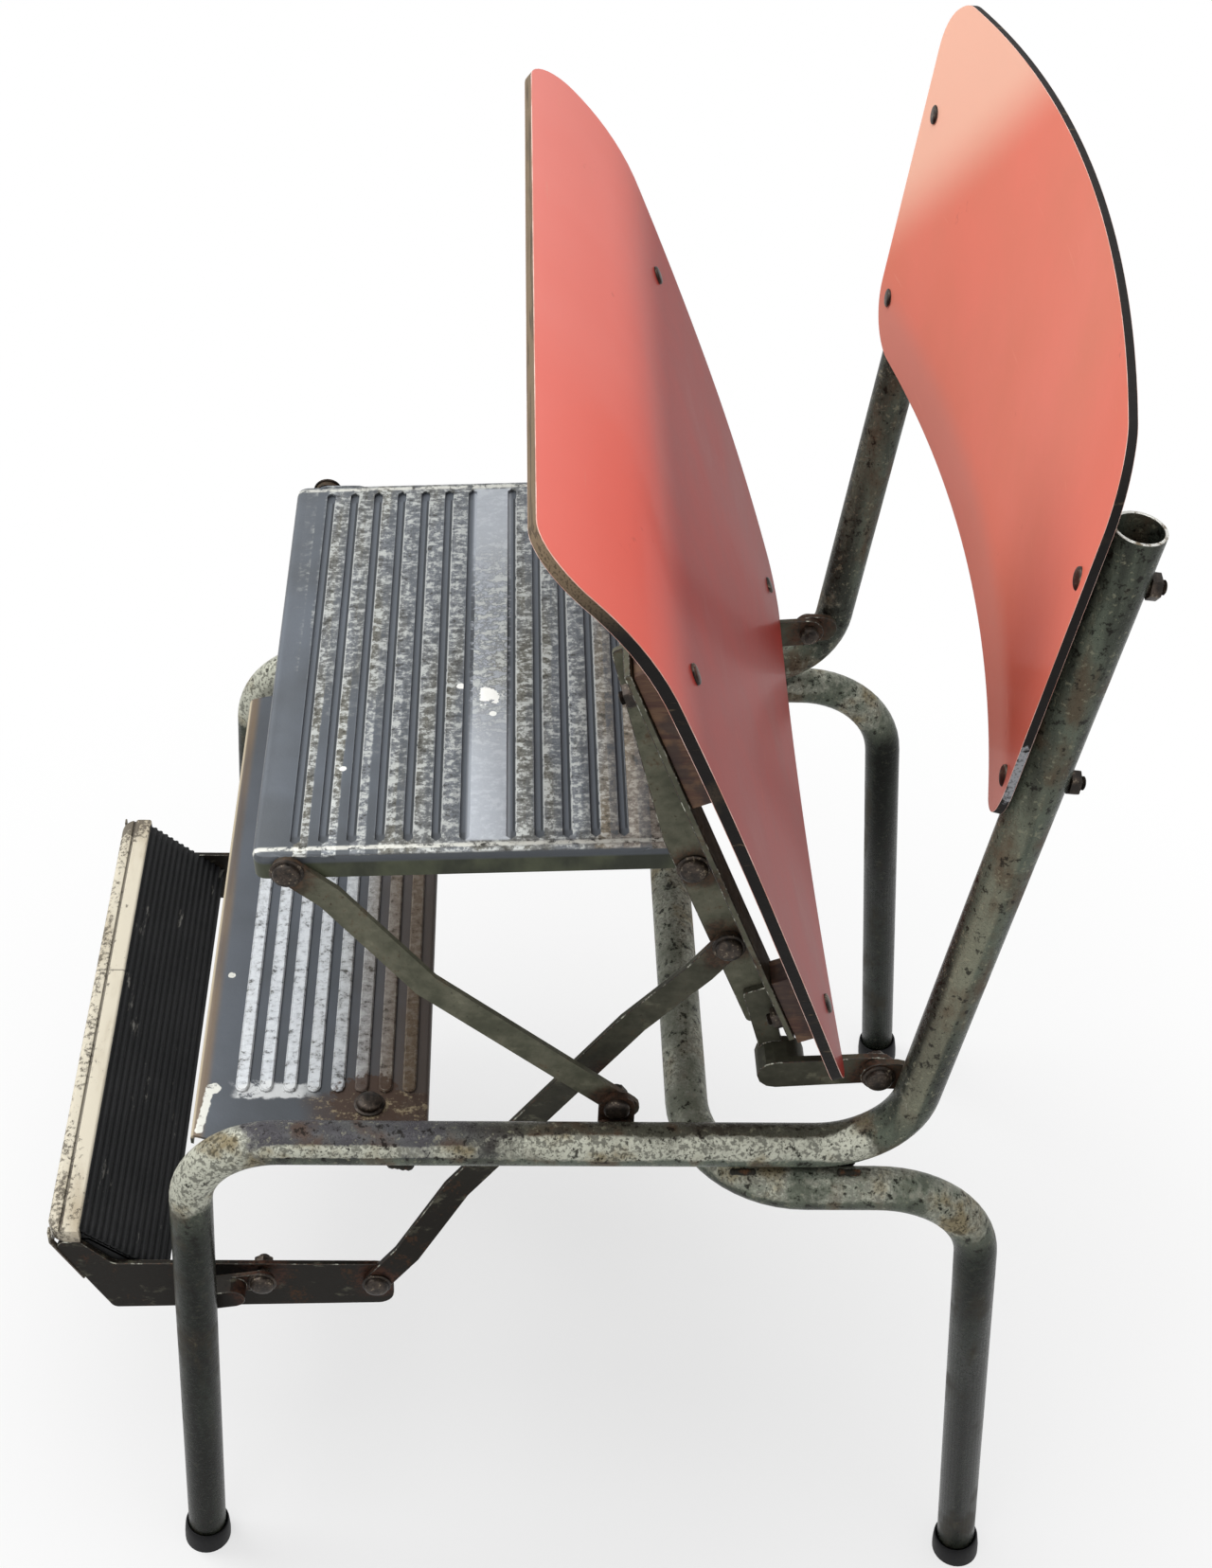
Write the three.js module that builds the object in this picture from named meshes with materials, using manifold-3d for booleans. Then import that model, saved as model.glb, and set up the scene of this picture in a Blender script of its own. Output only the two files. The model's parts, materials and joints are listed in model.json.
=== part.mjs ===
// Folding step stool chair: a bent-tube chair whose seat tips up and swings two steps out.
// Millimetres. +Z is up, the floor is Z = 0, the chair faces -Y and its own left side is +X.
// The origin lies below the middle of the whole chair.
// The steps are out in the modelled pose, and the seat comes down over them to make a chair.
import * as THREE from "three";
import { mergeVertices } from "three/addons/utils/BufferGeometryUtils.js";
import Module from "manifold-3d";

const wasm = await Module();
wasm.setup();

// Shared sizes
const gap = 0.3; // left between pieces that touch
const overrun = 5; // how far a cutter passes the face that it cuts
const boltRadius = 3;
const boltHole = boltRadius + gap;
const tubeRadius = 11;
const tubeWall = 1.4;
const tubeFacets = 12; // an even number
const bendSteps = 5;
const boltFacets = 8;
const holeFacets = 12;
const weldDistance = 1e-4; // points closer than this are one point
const sheet = 1.5; // pressed steel of both step plates

// Side tubes: front leg, seat rail and upright in one bend each
const sideX = 191; // from the middle to the axis of a rail
const railHeight = 366.9;
const frontFootY = -198.9;
const frontBendY = -177.9;
const frontBendRadius = 47;
const rearBendY = 171.4;
const rearBendRadius = 46;
const uprightTopY = 213.4;
const uprightTopHeight = 742.2;
const uprightSplay = 11.6; // how far the top of an upright leans out

// Rear leg tube: one U, welded under the rails, that also makes the cross tube
const rearLegX = 200;
const crossTubeY = 71.1;
const crossBendRadius = 56;
const rearLegBendY = 214.6;
const rearLegBendRadius = 58;
const rearFootY = 252.6;

// Rubber feet
const footRadius = 13.6;
const footHeight = 16;
const footFloor = 4;
const footSideShare = 0.4; // of the height, below which the foot keeps its full radius
const footTopShare = 0.93; // of the radius, at the top
const footFacets = 12;

// Pivots on the frame, seen from the side as Y and Z
const hingeY = 158.7; // seat hinge
const hingeZ = 406.1;
const frontPivotY = 32.9; // foot of each front link
const frontPivotZ = 375.9;
const stepPivotY = -153; // lower step
const stepPivotZ = 224.3;

// Lugs welded to the tubes
const lugThickness = 3;
const lugRadius = 9;
const lugFootRound = 2;
const hingeLugShare = 0.5; // of the way from the hinge to the upright, where the lug's round end starts

// Layers of the linkage, each the outer face of its piece, counted from the middle
const flangeFace = 151; // side of the upper step
const armWeb = 3; // thickness of the seat arm's angle
const armFace = 158.3;
const linkThickness = 3;
const longLinkTopFace = armFace + gap + linkThickness;
const lowerArmThickness = 3;
const lowerArmFace = 163.6;
const longLinkFootFace = lowerArmFace + gap + linkThickness;
const frontLinkTopFace = flangeFace + gap + linkThickness;
const lugFace = sideX - tubeRadius - gap;
const bracketFace = lugFace - lugThickness - gap;
const uprightLean = (uprightSplay * (hingeZ - lugRadius - railHeight)) / (uprightTopHeight - railHeight);
const hingeLugFace = lugFace + uprightLean; // reaches the upright, which leans out
const lugStandIn = 4.3; // leaves room for a bolt head beside the rail
const frontLugFace = lugFace - lugStandIn;
const frontLinkFootFace = frontLugFace - lugThickness - gap;
const bracketThickness = 3.5;
const strapThickness = 3;

// Fasteners
const washerRadius = 8;
const washerThickness = 1.2;
const headRadius = 6.5;
const headHeight = 3.6;
const headCrownShare = 0.8; // of the head's radius, where its crown starts
const headSideShare = 0.7; // of the head's height, up to its crown
const nutAcross = 10;
const nutHeight = 4.5;
const tailLength = 2.5; // thread that shows past a nut
const screwSlotWidth = 1.4;
const screwSlotDepth = 1.2;
const pivotSlotTurn = 0.6; // radians
const seatSlotTurn = 0.2;
const backSlotTurn = 0.9;

// Seat: sizes along the seat (U, from the hinge to its front) and below it (N), from the hinge
const seatDegrees = 113.5; // from level and pointing rearward, in the modelled pose
const seatRearU = 16;
const seatFrontU = 373.5;
const seatHalf = 221.5;
const seatTaperU = 165;
const seatRearTaper = 21; // lost from each side between there and the rear edge
const seatThickness = 5.5;
const seatRearDrop = 11.5;
const seatMiddleU = 270;
const seatCurlU = 285;
const seatCurlDrop = 25;
const seatRearRadius = 25;
const seatFrontRadius = 26;
const seatDish = 4;
const seatRows = 7; // between the corners
const seatColumns = 8;
const cornerSteps = 4;
const seatScrewX = 168.2;
const seatFrontScrewU = 259;
const seatRearScrewU = 46.5;
const seatScrewLift = 0.5; // the heads stand clear of the seat's slope

// Seat arms: angle iron under the seat
const armRearU = 38;
const armFrontU = 276;
const armFlangeRearN = 30;
const armFlangeFrontN = 23.5;
const armRearDepth = 22.5;
const armMiddleDepth = 22;
const armFrontDepth = 8;
const armFrontRound = 3;
const armTaperU = 168;
const armFlangeWidth = 22;
const armWindow = 6;
const armWindowU = 50;
const armWindowN = 45;
const armPlateU = 146.2; // pivot of the upper step on the arm
const armPlateN = 41.4;
const armLinkU = 94.9; // pivot of the long link on the arm
const armLinkN = 42.5;

// Hinge brackets: bent flat bar from the hinge to the tail of each arm
const bracketWidth = 18;
const bracketElbowU = 16;
const bracketElbowN = 47;
const bracketTopU = 62;
const bracketTopN = 40;
const bracketStemWidth = 14;
const bracketElbowRadius = 7;
const bracketStemRound = 2;
const bracketBridgeShare = 0.12; // of the way from the elbow to the hinge

// Packing blocks between seat and arms
const packerLength = 78;
const packerRearLength = 44;
const packerWidth = 15;
const packerRearShare = 0.3; // of its length, behind the rear screw
const packerFrontShare = 0.82; // and behind the front screw
const packerSteps = 4;

// Upper step: pressed plate with grooves, hung between the front links and the seat arms
const plateFrontY = -123.4; // pivot of the front links on the plate
const plateFrontZ = 515.2;
const plateRearY = 62.4; // pivot of the seat arms on the plate
const plateRearZ = 523.7;
const plateRise = 6.5; // top of the plate above the line of its pivots
const plateNose = 16;
const plateTail = -6.5; // the rear eyes stand out behind the plate
const plateFlange = 13.5;
const plateEarRadius = 6.5;
const plateEarLength = 18;
const plateCornerRadius = 6;
const plateEdgeRadius = 3;
const grooveWidth = 4.6;
const grooveDepth = 1.8;
const groovePitch = 13;
const grooveBand = 21.5; // the one wide plain band
const grooveBeforeBand = 7;
const grooveAfterBand = 5;
const grooveStart = 19.5;
const grooveMargin = 8;

// Fixed step: pressed plate with raised ribs between the rails
const fixedDrop = 15.9; // from the axis of a rail down to the top of the plate
const fixedTop = railHeight - fixedDrop;
const fixedFrontY = -180.4;
const fixedFlange = 9;
const fixedRoll = 7;
const fixedUpstand = 16;
const fixedUpstandRound = 6;
const fixedFrontRound = 3.6;
const fixedRearRound = 2.2;
const fixedCorner = 24; // cut off each front corner, beside the bend of the tube
const fixedCornerIn = 7;
const fixedCornerRound = 6;
const ribCount = 8;
const ribWidth = 7;
const ribHeight = 1.6;
const ribPitch = 12.2;
const ribFirstY = -156.9;
const ribHalf = 145;
const ribMargin = 10.1; // from the axis of the last rib to the rear edge
const fixedRearY = ribFirstY + (ribCount - 1) * ribPitch + ribMargin;
const plateLugWidth = 18;
const plateLugThickness = 3;
const plateScrewX = 153;
const plateScrewY = -91.4;

// Lower step: pan, rubber and nosing between two side plates, as Y and Z in the modelled pose
const lowerArmTop = 231;
const lowerArmRearZ = 196.5;
const lowerArmFrontZ = 191.5;
const lowerArmRearY = -82.4;
const lowerArmHeelY = -237.4;
const lowerArmNoseY = -264.4;
const lowerArmRiseY = -233.4;
const lowerArmLipY = -249.4;
const lowerArmEndRadius = 9;
const lowerLinkY = -91.4; // pivot of the long link on the lower step
const lowerLinkZ = 218.5;
const panSheet = 2;
const nosingTop = 259;
const nosingHeight = 9;
const nosingFrontY = -266.4;
const nosingGrooveY = -258.9;
const nosingGroove = 1.2;
const nosingRearY = -248.9;
const nosingCornerRadius = 11;
const treadRearY = -207.4;
const treadRearZ = 220.5;
const treadRubber = 3;
const treadRibs = 13;
const treadRibHeight = 0.9;
const treadRibShare = 0.5; // of the pitch, flat on top of a rib
const treadValleyShares = [0.62, 0.88]; // start and end of the flat between two ribs
const panLip = 9;
const panRearShare = 0.6; // of the pan's sheet, that its rear lip stands clear of the rubber
const panRearDropShare = 0.4;
const crownShare = 0.33; // of the nosing's height, rounded off at its front

// Links: flat bar, set over sideways between their pivots. Places are counted along the link from its top.
const linkWidth = 14;
const linkFootOverlap = 6; // the front link runs on past its foot pivot
const linkSetStart = 25;
const linkSetEnd = 85;
const longLinkWidth = 15;
const longSetStart = 22;
const longSetIn = 75;
const longSetOut = 232;
const longSetEnd = 280;
const longMiddleFace = flangeFace + gap + linkThickness;

// Strap that carries the lower step's pivot from each front leg
const strapWidth = 13;
const strapEyeShare = 0.45; // of the way from the pivot to the leg, where the joggle starts
const strapNeckShare = 0.1; // of the way back from the leg, where it ends

// Backrest: curved panel on the fronts of the uprights
const backHalfTop = 218;
const backHalfBottom = 210;
const backBottomZ = 588.5;
const backTopZ = 777.5;
const backThickness = 3.8;
const backBulge = 19.5;
const backTopRadius = 30;
const backBottomRadius = 31;
const backCrown = 12; // how far the middle of the top edge stands above its ends
const backRows = 5;
const backColumns = 10;
const backUpperScrewZ = 718.1;
const backLowerScrewZ = 615.5;

// Colours and finishes
const finishes = {
  tube: { color: 0x4d524c, roughness: 0.5, metalness: 0.55 },
  link: { color: 0x4a4c42, roughness: 0.55, metalness: 0.5 },
  plate: { color: 0x8b8f92, roughness: 0.45, metalness: 0.6 },
  laminate: { color: 0xe0786a, roughness: 0.35, metalness: 0 },
  wood: { color: 0x9a6a42, roughness: 0.7, metalness: 0 },
  rubber: { color: 0x232528, roughness: 0.85, metalness: 0 },
  nosing: { color: 0xcfc8b4, roughness: 0.5, metalness: 0.2 },
  screw: { color: 0x5a4636, roughness: 0.5, metalness: 0.7 },
};
const materials = {};
for (const [name, finish] of Object.entries(finishes)) {
  materials[name] = new THREE.MeshStandardMaterial({ name, ...finish });
}

const root = new THREE.Group();
root.name = "folding_step_stool_chair";

// Solids and meshes

function solidOf(geometry) {
  const plain = geometry.index ? geometry.toNonIndexed() : geometry.clone();
  plain.deleteAttribute("normal");
  plain.deleteAttribute("uv");
  const merged = mergeVertices(plain, weldDistance);
  const mesh = new wasm.Mesh({
    numProp: 3,
    vertProperties: new Float32Array(merged.attributes.position.array),
    triVerts: new Uint32Array(merged.index.array),
  });
  return new wasm.Manifold(mesh);
}

function geometryOf(solid) {
  const mesh = solid.getMesh();
  const indexed = new THREE.BufferGeometry();
  indexed.setAttribute("position", new THREE.BufferAttribute(mesh.vertProperties, 3));
  indexed.setIndex(new THREE.BufferAttribute(mesh.triVerts, 1));
  const flat = indexed.toNonIndexed();
  flat.computeVertexNormals();
  return flat;
}

function addNode(name, material, shape) {
  const geometry = shape.isBufferGeometry ? shape : geometryOf(shape);
  const mesh = new THREE.Mesh(geometry, materials[material]);
  mesh.name = name;
  root.add(mesh);
  return mesh;
}

function mirrored(solid) {
  return solid.mirror([1, 0, 0]);
}

// Adds a piece of the left side, made at +X, and its twin on the right
function addPair(name, material, solid) {
  addNode(`${name}_left`, material, solid);
  addNode(`${name}_right`, material, mirrored(solid));
}

function joined(...solids) {
  return solids.reduce((whole, solid) => whole.add(solid));
}

// Outlines

// A closed outline through the corners, with a round of the given radius at each
function roundedShape(corners) {
  const shape = new THREE.Shape();
  const count = corners.length;
  corners.forEach(([x, y, radius = 0], i) => {
    const here = new THREE.Vector2(x, y);
    const before = new THREE.Vector2(...corners[(i + count - 1) % count].slice(0, 2)).sub(here);
    const after = new THREE.Vector2(...corners[(i + 1) % count].slice(0, 2)).sub(here);
    const half = before.angleTo(after) / 2;
    const cut = radius / Math.tan(half);
    const start = here.clone().addScaledVector(before.normalize(), cut);
    const end = here.clone().addScaledVector(after.normalize(), cut);
    if (i === 0) {
      shape.moveTo(start.x, start.y);
    } else {
      shape.lineTo(start.x, start.y);
    }
    if (radius > 0) {
      const middle = before.clone().add(after).normalize();
      const centre = here.clone().addScaledVector(middle, radius / Math.sin(half));
      const from = start.clone().sub(centre).angle();
      const to = end.clone().sub(centre).angle();
      const clockwise = before.cross(after) > 0;
      shape.absarc(centre.x, centre.y, radius, from, to, clockwise);
    }
  });
  shape.closePath();
  return shape;
}

function circlePath(x, y, radius) {
  return new THREE.Path().absarc(x, y, radius, 0, Math.PI * 2, true);
}

// A bar with round ends between two points
function barShape(from, to, width) {
  const shape = new THREE.Shape();
  const along = to.clone().sub(from).angle();
  const quarter = Math.PI / 2;
  shape.absarc(from.x, from.y, width / 2, along + quarter, along + 3 * quarter, false);
  shape.absarc(to.x, to.y, width / 2, along - quarter, along + quarter, false);
  shape.closePath();
  return shape;
}

// A flat piece whose outline lies in the Y-Z plane, between two distances from the middle
function sideways(shape, innerX, outerX, arcSteps = 3) {
  const geometry = new THREE.ExtrudeGeometry(shape, {
    depth: outerX - innerX,
    bevelEnabled: false,
    curveSegments: arcSteps,
  });
  const turn = new THREE.Matrix4().makeBasis(
    new THREE.Vector3(0, 1, 0),
    new THREE.Vector3(0, 0, 1),
    new THREE.Vector3(1, 0, 0),
  );
  geometry.applyMatrix4(turn);
  geometry.translate(innerX, 0, 0);
  return solidOf(geometry);
}

// A round cutter along X through a point given by Y and Z
function boreAlongX(y, z, radius, innerX, outerX) {
  const cylinder = new THREE.CylinderGeometry(radius, radius, outerX - innerX, boltFacets);
  cylinder.rotateZ(-Math.PI / 2);
  cylinder.translate((innerX + outerX) / 2, y, z);
  return solidOf(cylinder);
}

// A body turned about its own axis, given by radius and place along it, and laid along a direction
function turned(profile, at, direction, facets = boltFacets) {
  const points = profile.map(([radius, place]) => new THREE.Vector2(radius, place));
  const lathe = new THREE.LatheGeometry(points, facets);
  const turn = new THREE.Quaternion().setFromUnitVectors(
    new THREE.Vector3(0, 1, 0),
    direction.clone().normalize(),
  );
  lathe.applyQuaternion(turn);
  lathe.translate(at.x, at.y, at.z);
  return solidOf(lathe);
}

const alongX = new THREE.Vector3(1, 0, 0);

// A slotted bolt with its nut. The grip is the stack that it clamps, measured back from under the head.
function bolt({ at, direction, grip, nut = true, washer = true, slotTurn = pivotSlotTurn }) {
  const under = washer ? washerThickness + gap : gap;
  const crown = under + headHeight;
  const profile = [[0, -grip - (nut ? gap + nutHeight + tailLength : gap)]];
  profile.push([boltRadius, profile[0][1]]);
  profile.push([boltRadius, gap]);
  if (washer) {
    profile.push([washerRadius, gap]);
    profile.push([washerRadius, gap + washerThickness]);
  }
  profile.push([headRadius, under]);
  profile.push([headRadius * headCrownShare, under + headHeight * headSideShare]);
  profile.push([0, crown]);
  let solid = turned(profile, new THREE.Vector3(), new THREE.Vector3(0, 1, 0));
  if (nut) {
    const corner = nutAcross / Math.sqrt(3);
    const hexagon = new THREE.CylinderGeometry(corner, corner, nutHeight, 6);
    hexagon.translate(0, -grip - gap - nutHeight / 2, 0);
    solid = solid.add(solidOf(hexagon));
  }
  const slot = new THREE.BoxGeometry(screwSlotWidth, screwSlotDepth * 2, headRadius * 2 + overrun);
  slot.rotateY(slotTurn);
  slot.translate(0, crown, 0);
  solid = solid.subtract(solidOf(slot));
  const facing = new THREE.Quaternion().setFromUnitVectors(
    new THREE.Vector3(0, 1, 0),
    direction.clone().normalize(),
  );
  const turn = new THREE.Matrix4().makeRotationFromQuaternion(facing).setPosition(at);
  return solid.transform(turn.toArray());
}

// A path of straight stretches and round bends that an extrusion follows with no step wasted
class BentPath extends THREE.Curve {
  constructor(corners, radii) {
    super();
    this.stations = [];
    const last = corners.length - 1;
    corners.forEach((corner, i) => {
      if (i === 0 || i === last) {
        const other = corners[i === 0 ? 1 : last - 1];
        const tangent = other.clone().sub(corner).normalize().multiplyScalar(i === 0 ? 1 : -1);
        this.stations.push({ point: corner, tangent });
        return;
      }
      const back = corners[i - 1].clone().sub(corner).normalize();
      const on = corners[i + 1].clone().sub(corner).normalize();
      const half = back.angleTo(on) / 2;
      const radius = radii[i - 1];
      const inward = back.clone().add(on).normalize();
      const centre = corner.clone().addScaledVector(inward, radius / Math.sin(half));
      const start = corner.clone().addScaledVector(back, radius / Math.tan(half)).sub(centre);
      const axis = on.clone().cross(back).normalize();
      const turn = Math.PI - 2 * half;
      for (let k = 0; k <= bendSteps; k++) {
        const arm = start.clone().applyAxisAngle(axis, (turn * k) / bendSteps);
        const tangent = axis.clone().cross(arm).normalize();
        this.stations.push({ point: arm.clone().add(centre), tangent });
      }
    });
  }
  at(share, key) {
    const place = share * (this.stations.length - 1);
    const i = Math.min(Math.floor(place), this.stations.length - 2);
    return this.stations[i][key].clone().lerp(this.stations[i + 1][key], place - i);
  }
  getPoint(share) {
    return this.at(share, "point");
  }
  getTangent(share) {
    return this.at(share, "tangent").normalize();
  }
  getPointAt(share) {
    return this.getPoint(share);
  }
  getTangentAt(share) {
    return this.getTangent(share);
  }
  getSpacedPoints(count) {
    return this.getPoints(count);
  }
}

function bentTube(corners, radii) {
  const path = new BentPath(corners, radii);
  const ring = new THREE.Shape().absarc(0, 0, tubeRadius, 0, Math.PI * 2, false);
  ring.holes.push(circlePath(0, 0, tubeRadius - tubeWall));
  const geometry = new THREE.ExtrudeGeometry(ring, {
    steps: path.stations.length - 1,
    curveSegments: tubeFacets / 2,
    extrudePath: path,
  });
  const solid = solidOf(geometry);
  return solid.volume() > 0 ? solid : solidOf(reversed(geometry));
}

function reversed(geometry) {
  const flipped = geometry.index ? geometry.toNonIndexed() : geometry.clone();
  const place = flipped.attributes.position;
  for (let i = 0; i < place.count; i += 3) {
    const a = new THREE.Vector3().fromBufferAttribute(place, i + 1);
    const b = new THREE.Vector3().fromBufferAttribute(place, i + 2);
    place.setXYZ(i + 1, b.x, b.y, b.z);
    place.setXYZ(i + 2, a.x, a.y, a.z);
  }
  return flipped;
}

// Places worked out from the pivots

const hinge = new THREE.Vector2(hingeY, hingeZ);
const seatAngle = THREE.MathUtils.degToRad(seatDegrees);
const seatAlong = new THREE.Vector2(Math.cos(seatAngle), Math.sin(seatAngle));
const seatBelow = new THREE.Vector2(-Math.sin(seatAngle), Math.cos(seatAngle));

// Y and Z of a point given along and below the seat
function onSeat(along, below) {
  return hinge.clone().addScaledVector(seatAlong, along).addScaledVector(seatBelow, below);
}

const armPlatePivot = onSeat(armPlateU, armPlateN);
const armLinkPivot = onSeat(armLinkU, armLinkN);
const frontPivot = new THREE.Vector2(frontPivotY, frontPivotZ);
const plateFrontPivot = new THREE.Vector2(plateFrontY, plateFrontZ);
const plateRearPivot = new THREE.Vector2(plateRearY, plateRearZ);
const stepPivot = new THREE.Vector2(stepPivotY, stepPivotZ);
const lowerLinkPivot = new THREE.Vector2(lowerLinkY, lowerLinkZ);

// Frame tubes

const frontFoot = new THREE.Vector3(sideX, frontFootY, 0);
const frontBend = new THREE.Vector3(sideX, frontBendY, railHeight);
const rearBend = new THREE.Vector3(sideX, rearBendY, railHeight);
const uprightTop = new THREE.Vector3(sideX + uprightSplay, uprightTopY, uprightTopHeight);
const frontLegUp = frontBend.clone().sub(frontFoot).normalize();
const uprightUp = uprightTop.clone().sub(rearBend).normalize();
const rearRunHeight = railHeight - tubeRadius * 2 - gap;
const rearFoot = new THREE.Vector3(rearLegX, rearFootY, 0);
const rearLegBend = new THREE.Vector3(rearLegX, rearLegBendY, rearRunHeight);
const rearLegUp = rearLegBend.clone().sub(rearFoot).normalize();
const tubeStart = footFloor + gap; // along a leg, from the floor to the tube's cut end

function addFrameTubes() {
  const frontEnd = frontFoot.clone().addScaledVector(frontLegUp, tubeStart);
  const side = bentTube([frontEnd, frontBend, rearBend, uprightTop], [frontBendRadius, rearBendRadius]);
  addPair("side_tube", "tube", side);
  const crossCorner = new THREE.Vector3(rearLegX, crossTubeY, rearRunHeight);
  const half = [rearFoot.clone().addScaledVector(rearLegUp, tubeStart), rearLegBend, crossCorner];
  const flip = new THREE.Vector3(-1, 1, 1);
  const other = half.map((corner) => corner.clone().multiply(flip)).reverse();
  const radii = [rearLegBendRadius, crossBendRadius, crossBendRadius, rearLegBendRadius];
  addNode("rear_leg_tube", "tube", bentTube([...half, ...other], radii));
}

// A rubber cup on the end of a leg, cut flat where it stands on the floor
function footOn(floorPoint, up) {
  const inside = tubeRadius + gap;
  const cup = turned(
    [
      [0, -overrun],
      [footRadius, -overrun],
      [footRadius, footHeight * footSideShare],
      [footRadius * footTopShare, footHeight],
      [inside, footHeight],
      [inside, footFloor],
      [0, footFloor],
    ],
    floorPoint,
    up,
    footFacets,
  );
  const below = new THREE.BoxGeometry(footRadius * 4, footRadius * 4, footRadius * 2);
  below.translate(floorPoint.x, floorPoint.y, -footRadius);
  return cup.subtract(solidOf(below));
}

// Lugs and straps welded to the tubes

function addLugs() {
  // The hinge lug reaches out to the upright, which leans away from the middle
  const uprightBase = new THREE.Vector2(rearBend.y, railHeight);
  const uprightLine = new THREE.Vector2(uprightUp.y, uprightUp.z).normalize();
  const onUpright = uprightBase.addScaledVector(uprightLine, hingeZ - railHeight);
  const hingeEnd = hinge.clone().lerp(onUpright, hingeLugShare);
  const hingeLug = sideways(barShape(hinge, hingeEnd, lugRadius * 2), lugFace - lugThickness, hingeLugFace);
  const hingeEye = boreAlongX(hingeY, hingeZ, boltHole, lugFace - overrun, hingeLugFace + overrun);
  addPair("seat_hinge_lug", "link", hingeLug.subtract(hingeEye));

  // The front link's lug stands in from the rail on a thicker foot
  const railSeat = new THREE.Vector2(frontPivotY, railHeight - lugRadius);
  const plateShape = barShape(frontPivot, railSeat, lugRadius * 2);
  const plate = sideways(plateShape, frontLugFace - lugThickness, frontLugFace);
  const lugFoot = roundedShape([
    [frontPivotY - lugRadius, railHeight - lugRadius],
    [frontPivotY + lugRadius, railHeight - lugRadius],
    [frontPivotY + lugRadius, railHeight, lugFootRound],
    [frontPivotY - lugRadius, railHeight, lugFootRound],
  ]);
  const eye = boreAlongX(frontPivotY, frontPivotZ, boltHole, frontLugFace - overrun, frontLugFace + overrun);
  const foot = sideways(lugFoot, frontLugFace - lugThickness, lugFace);
  addPair("front_link_lug", "link", joined(plate.subtract(eye), foot));

  // The strap of the lower step starts on the leg's inner side and is joggled in to the step's side plate
  const strapFace = longLinkFootFace + strapThickness + gap;
  const legLine = new THREE.Vector2(frontLegUp.y, frontLegUp.z).normalize();
  const legSeat = new THREE.Vector2(frontFootY, 0).addScaledVector(legLine, stepPivotZ - strapWidth / 2);
  const strapEye = stepPivot.clone().lerp(legSeat, strapEyeShare);
  const neck = legSeat.clone().lerp(stepPivot, strapNeckShare);
  const inner = sideways(barShape(stepPivot, strapEye, strapWidth), strapFace - strapThickness, strapFace);
  const outer = sideways(barShape(neck, legSeat, strapWidth), lugFace - strapThickness, lugFace);
  const joggle = sideways(barShape(strapEye, neck, strapWidth), strapFace - strapThickness, lugFace);
  const strap = joined(inner, outer, joggle);
  const eyeBore = boreAlongX(stepPivotY, stepPivotZ, boltHole, strapFace - overrun, lugFace + overrun);
  addPair("lower_step_strap", "link", strap.subtract(eyeBore));
}

// A link of flat bar between two pivots. Each course is a place along it and the outer face from there on.
function crankedLink(from, to, width, courses, overlap = 0) {
  const along = to.clone().sub(from);
  const length = along.length();
  const faces = courses.map(([, face]) => face);
  const lowFace = Math.min(...faces) - linkThickness;
  const outline = barShape(new THREE.Vector2(0, 0), new THREE.Vector2(length + overlap, 0), width);
  const flat = new THREE.ExtrudeGeometry(outline, {
    depth: Math.max(...faces) - lowFace,
    bevelEnabled: false,
    curveSegments: 4,
  });
  const runs = [[-width, faces[0]], ...courses, [length + overlap + width, faces.at(-1)]];
  const strip = new THREE.Shape(
    [
      ...runs.map(([run, face]) => [run, face - linkThickness]),
      ...runs.toReversed(),
    ].map(([run, face]) => new THREE.Vector2(run, face - lowFace)),
  );
  const band = new THREE.ExtrudeGeometry(strip, { depth: width * 2, bevelEnabled: false });
  band.rotateX(Math.PI / 2);
  band.translate(0, width, 0);
  let bar = solidOf(flat).intersect(solidOf(band));
  for (const place of [0, length]) {
    const hole = new THREE.CylinderGeometry(boltHole, boltHole, width * 6, boltFacets);
    hole.rotateX(Math.PI / 2);
    hole.translate(place, 0, 0);
    bar = bar.subtract(solidOf(hole));
  }
  const heading = along.clone().normalize();
  const turn = new THREE.Matrix4().makeBasis(
    new THREE.Vector3(0, heading.x, heading.y),
    new THREE.Vector3(0, -heading.y, heading.x),
    alongX,
  );
  turn.setPosition(lowFace, from.x, from.y);
  return bar.transform(turn.toArray());
}

function addLinks() {
  const frontCourses = [
    [linkSetStart, frontLinkTopFace],
    [linkSetEnd, frontLinkFootFace],
  ];
  const front = crankedLink(plateFrontPivot, frontPivot, linkWidth, frontCourses, linkFootOverlap);
  addPair("front_link", "link", front);
  const longCourses = [
    [longSetStart, longLinkTopFace],
    [longSetIn, longMiddleFace],
    [longSetOut, longMiddleFace],
    [longSetEnd, longLinkFootFace],
  ];
  addPair("long_link", "link", crankedLink(armLinkPivot, lowerLinkPivot, longLinkWidth, longCourses));
}

// Step plates

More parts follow.
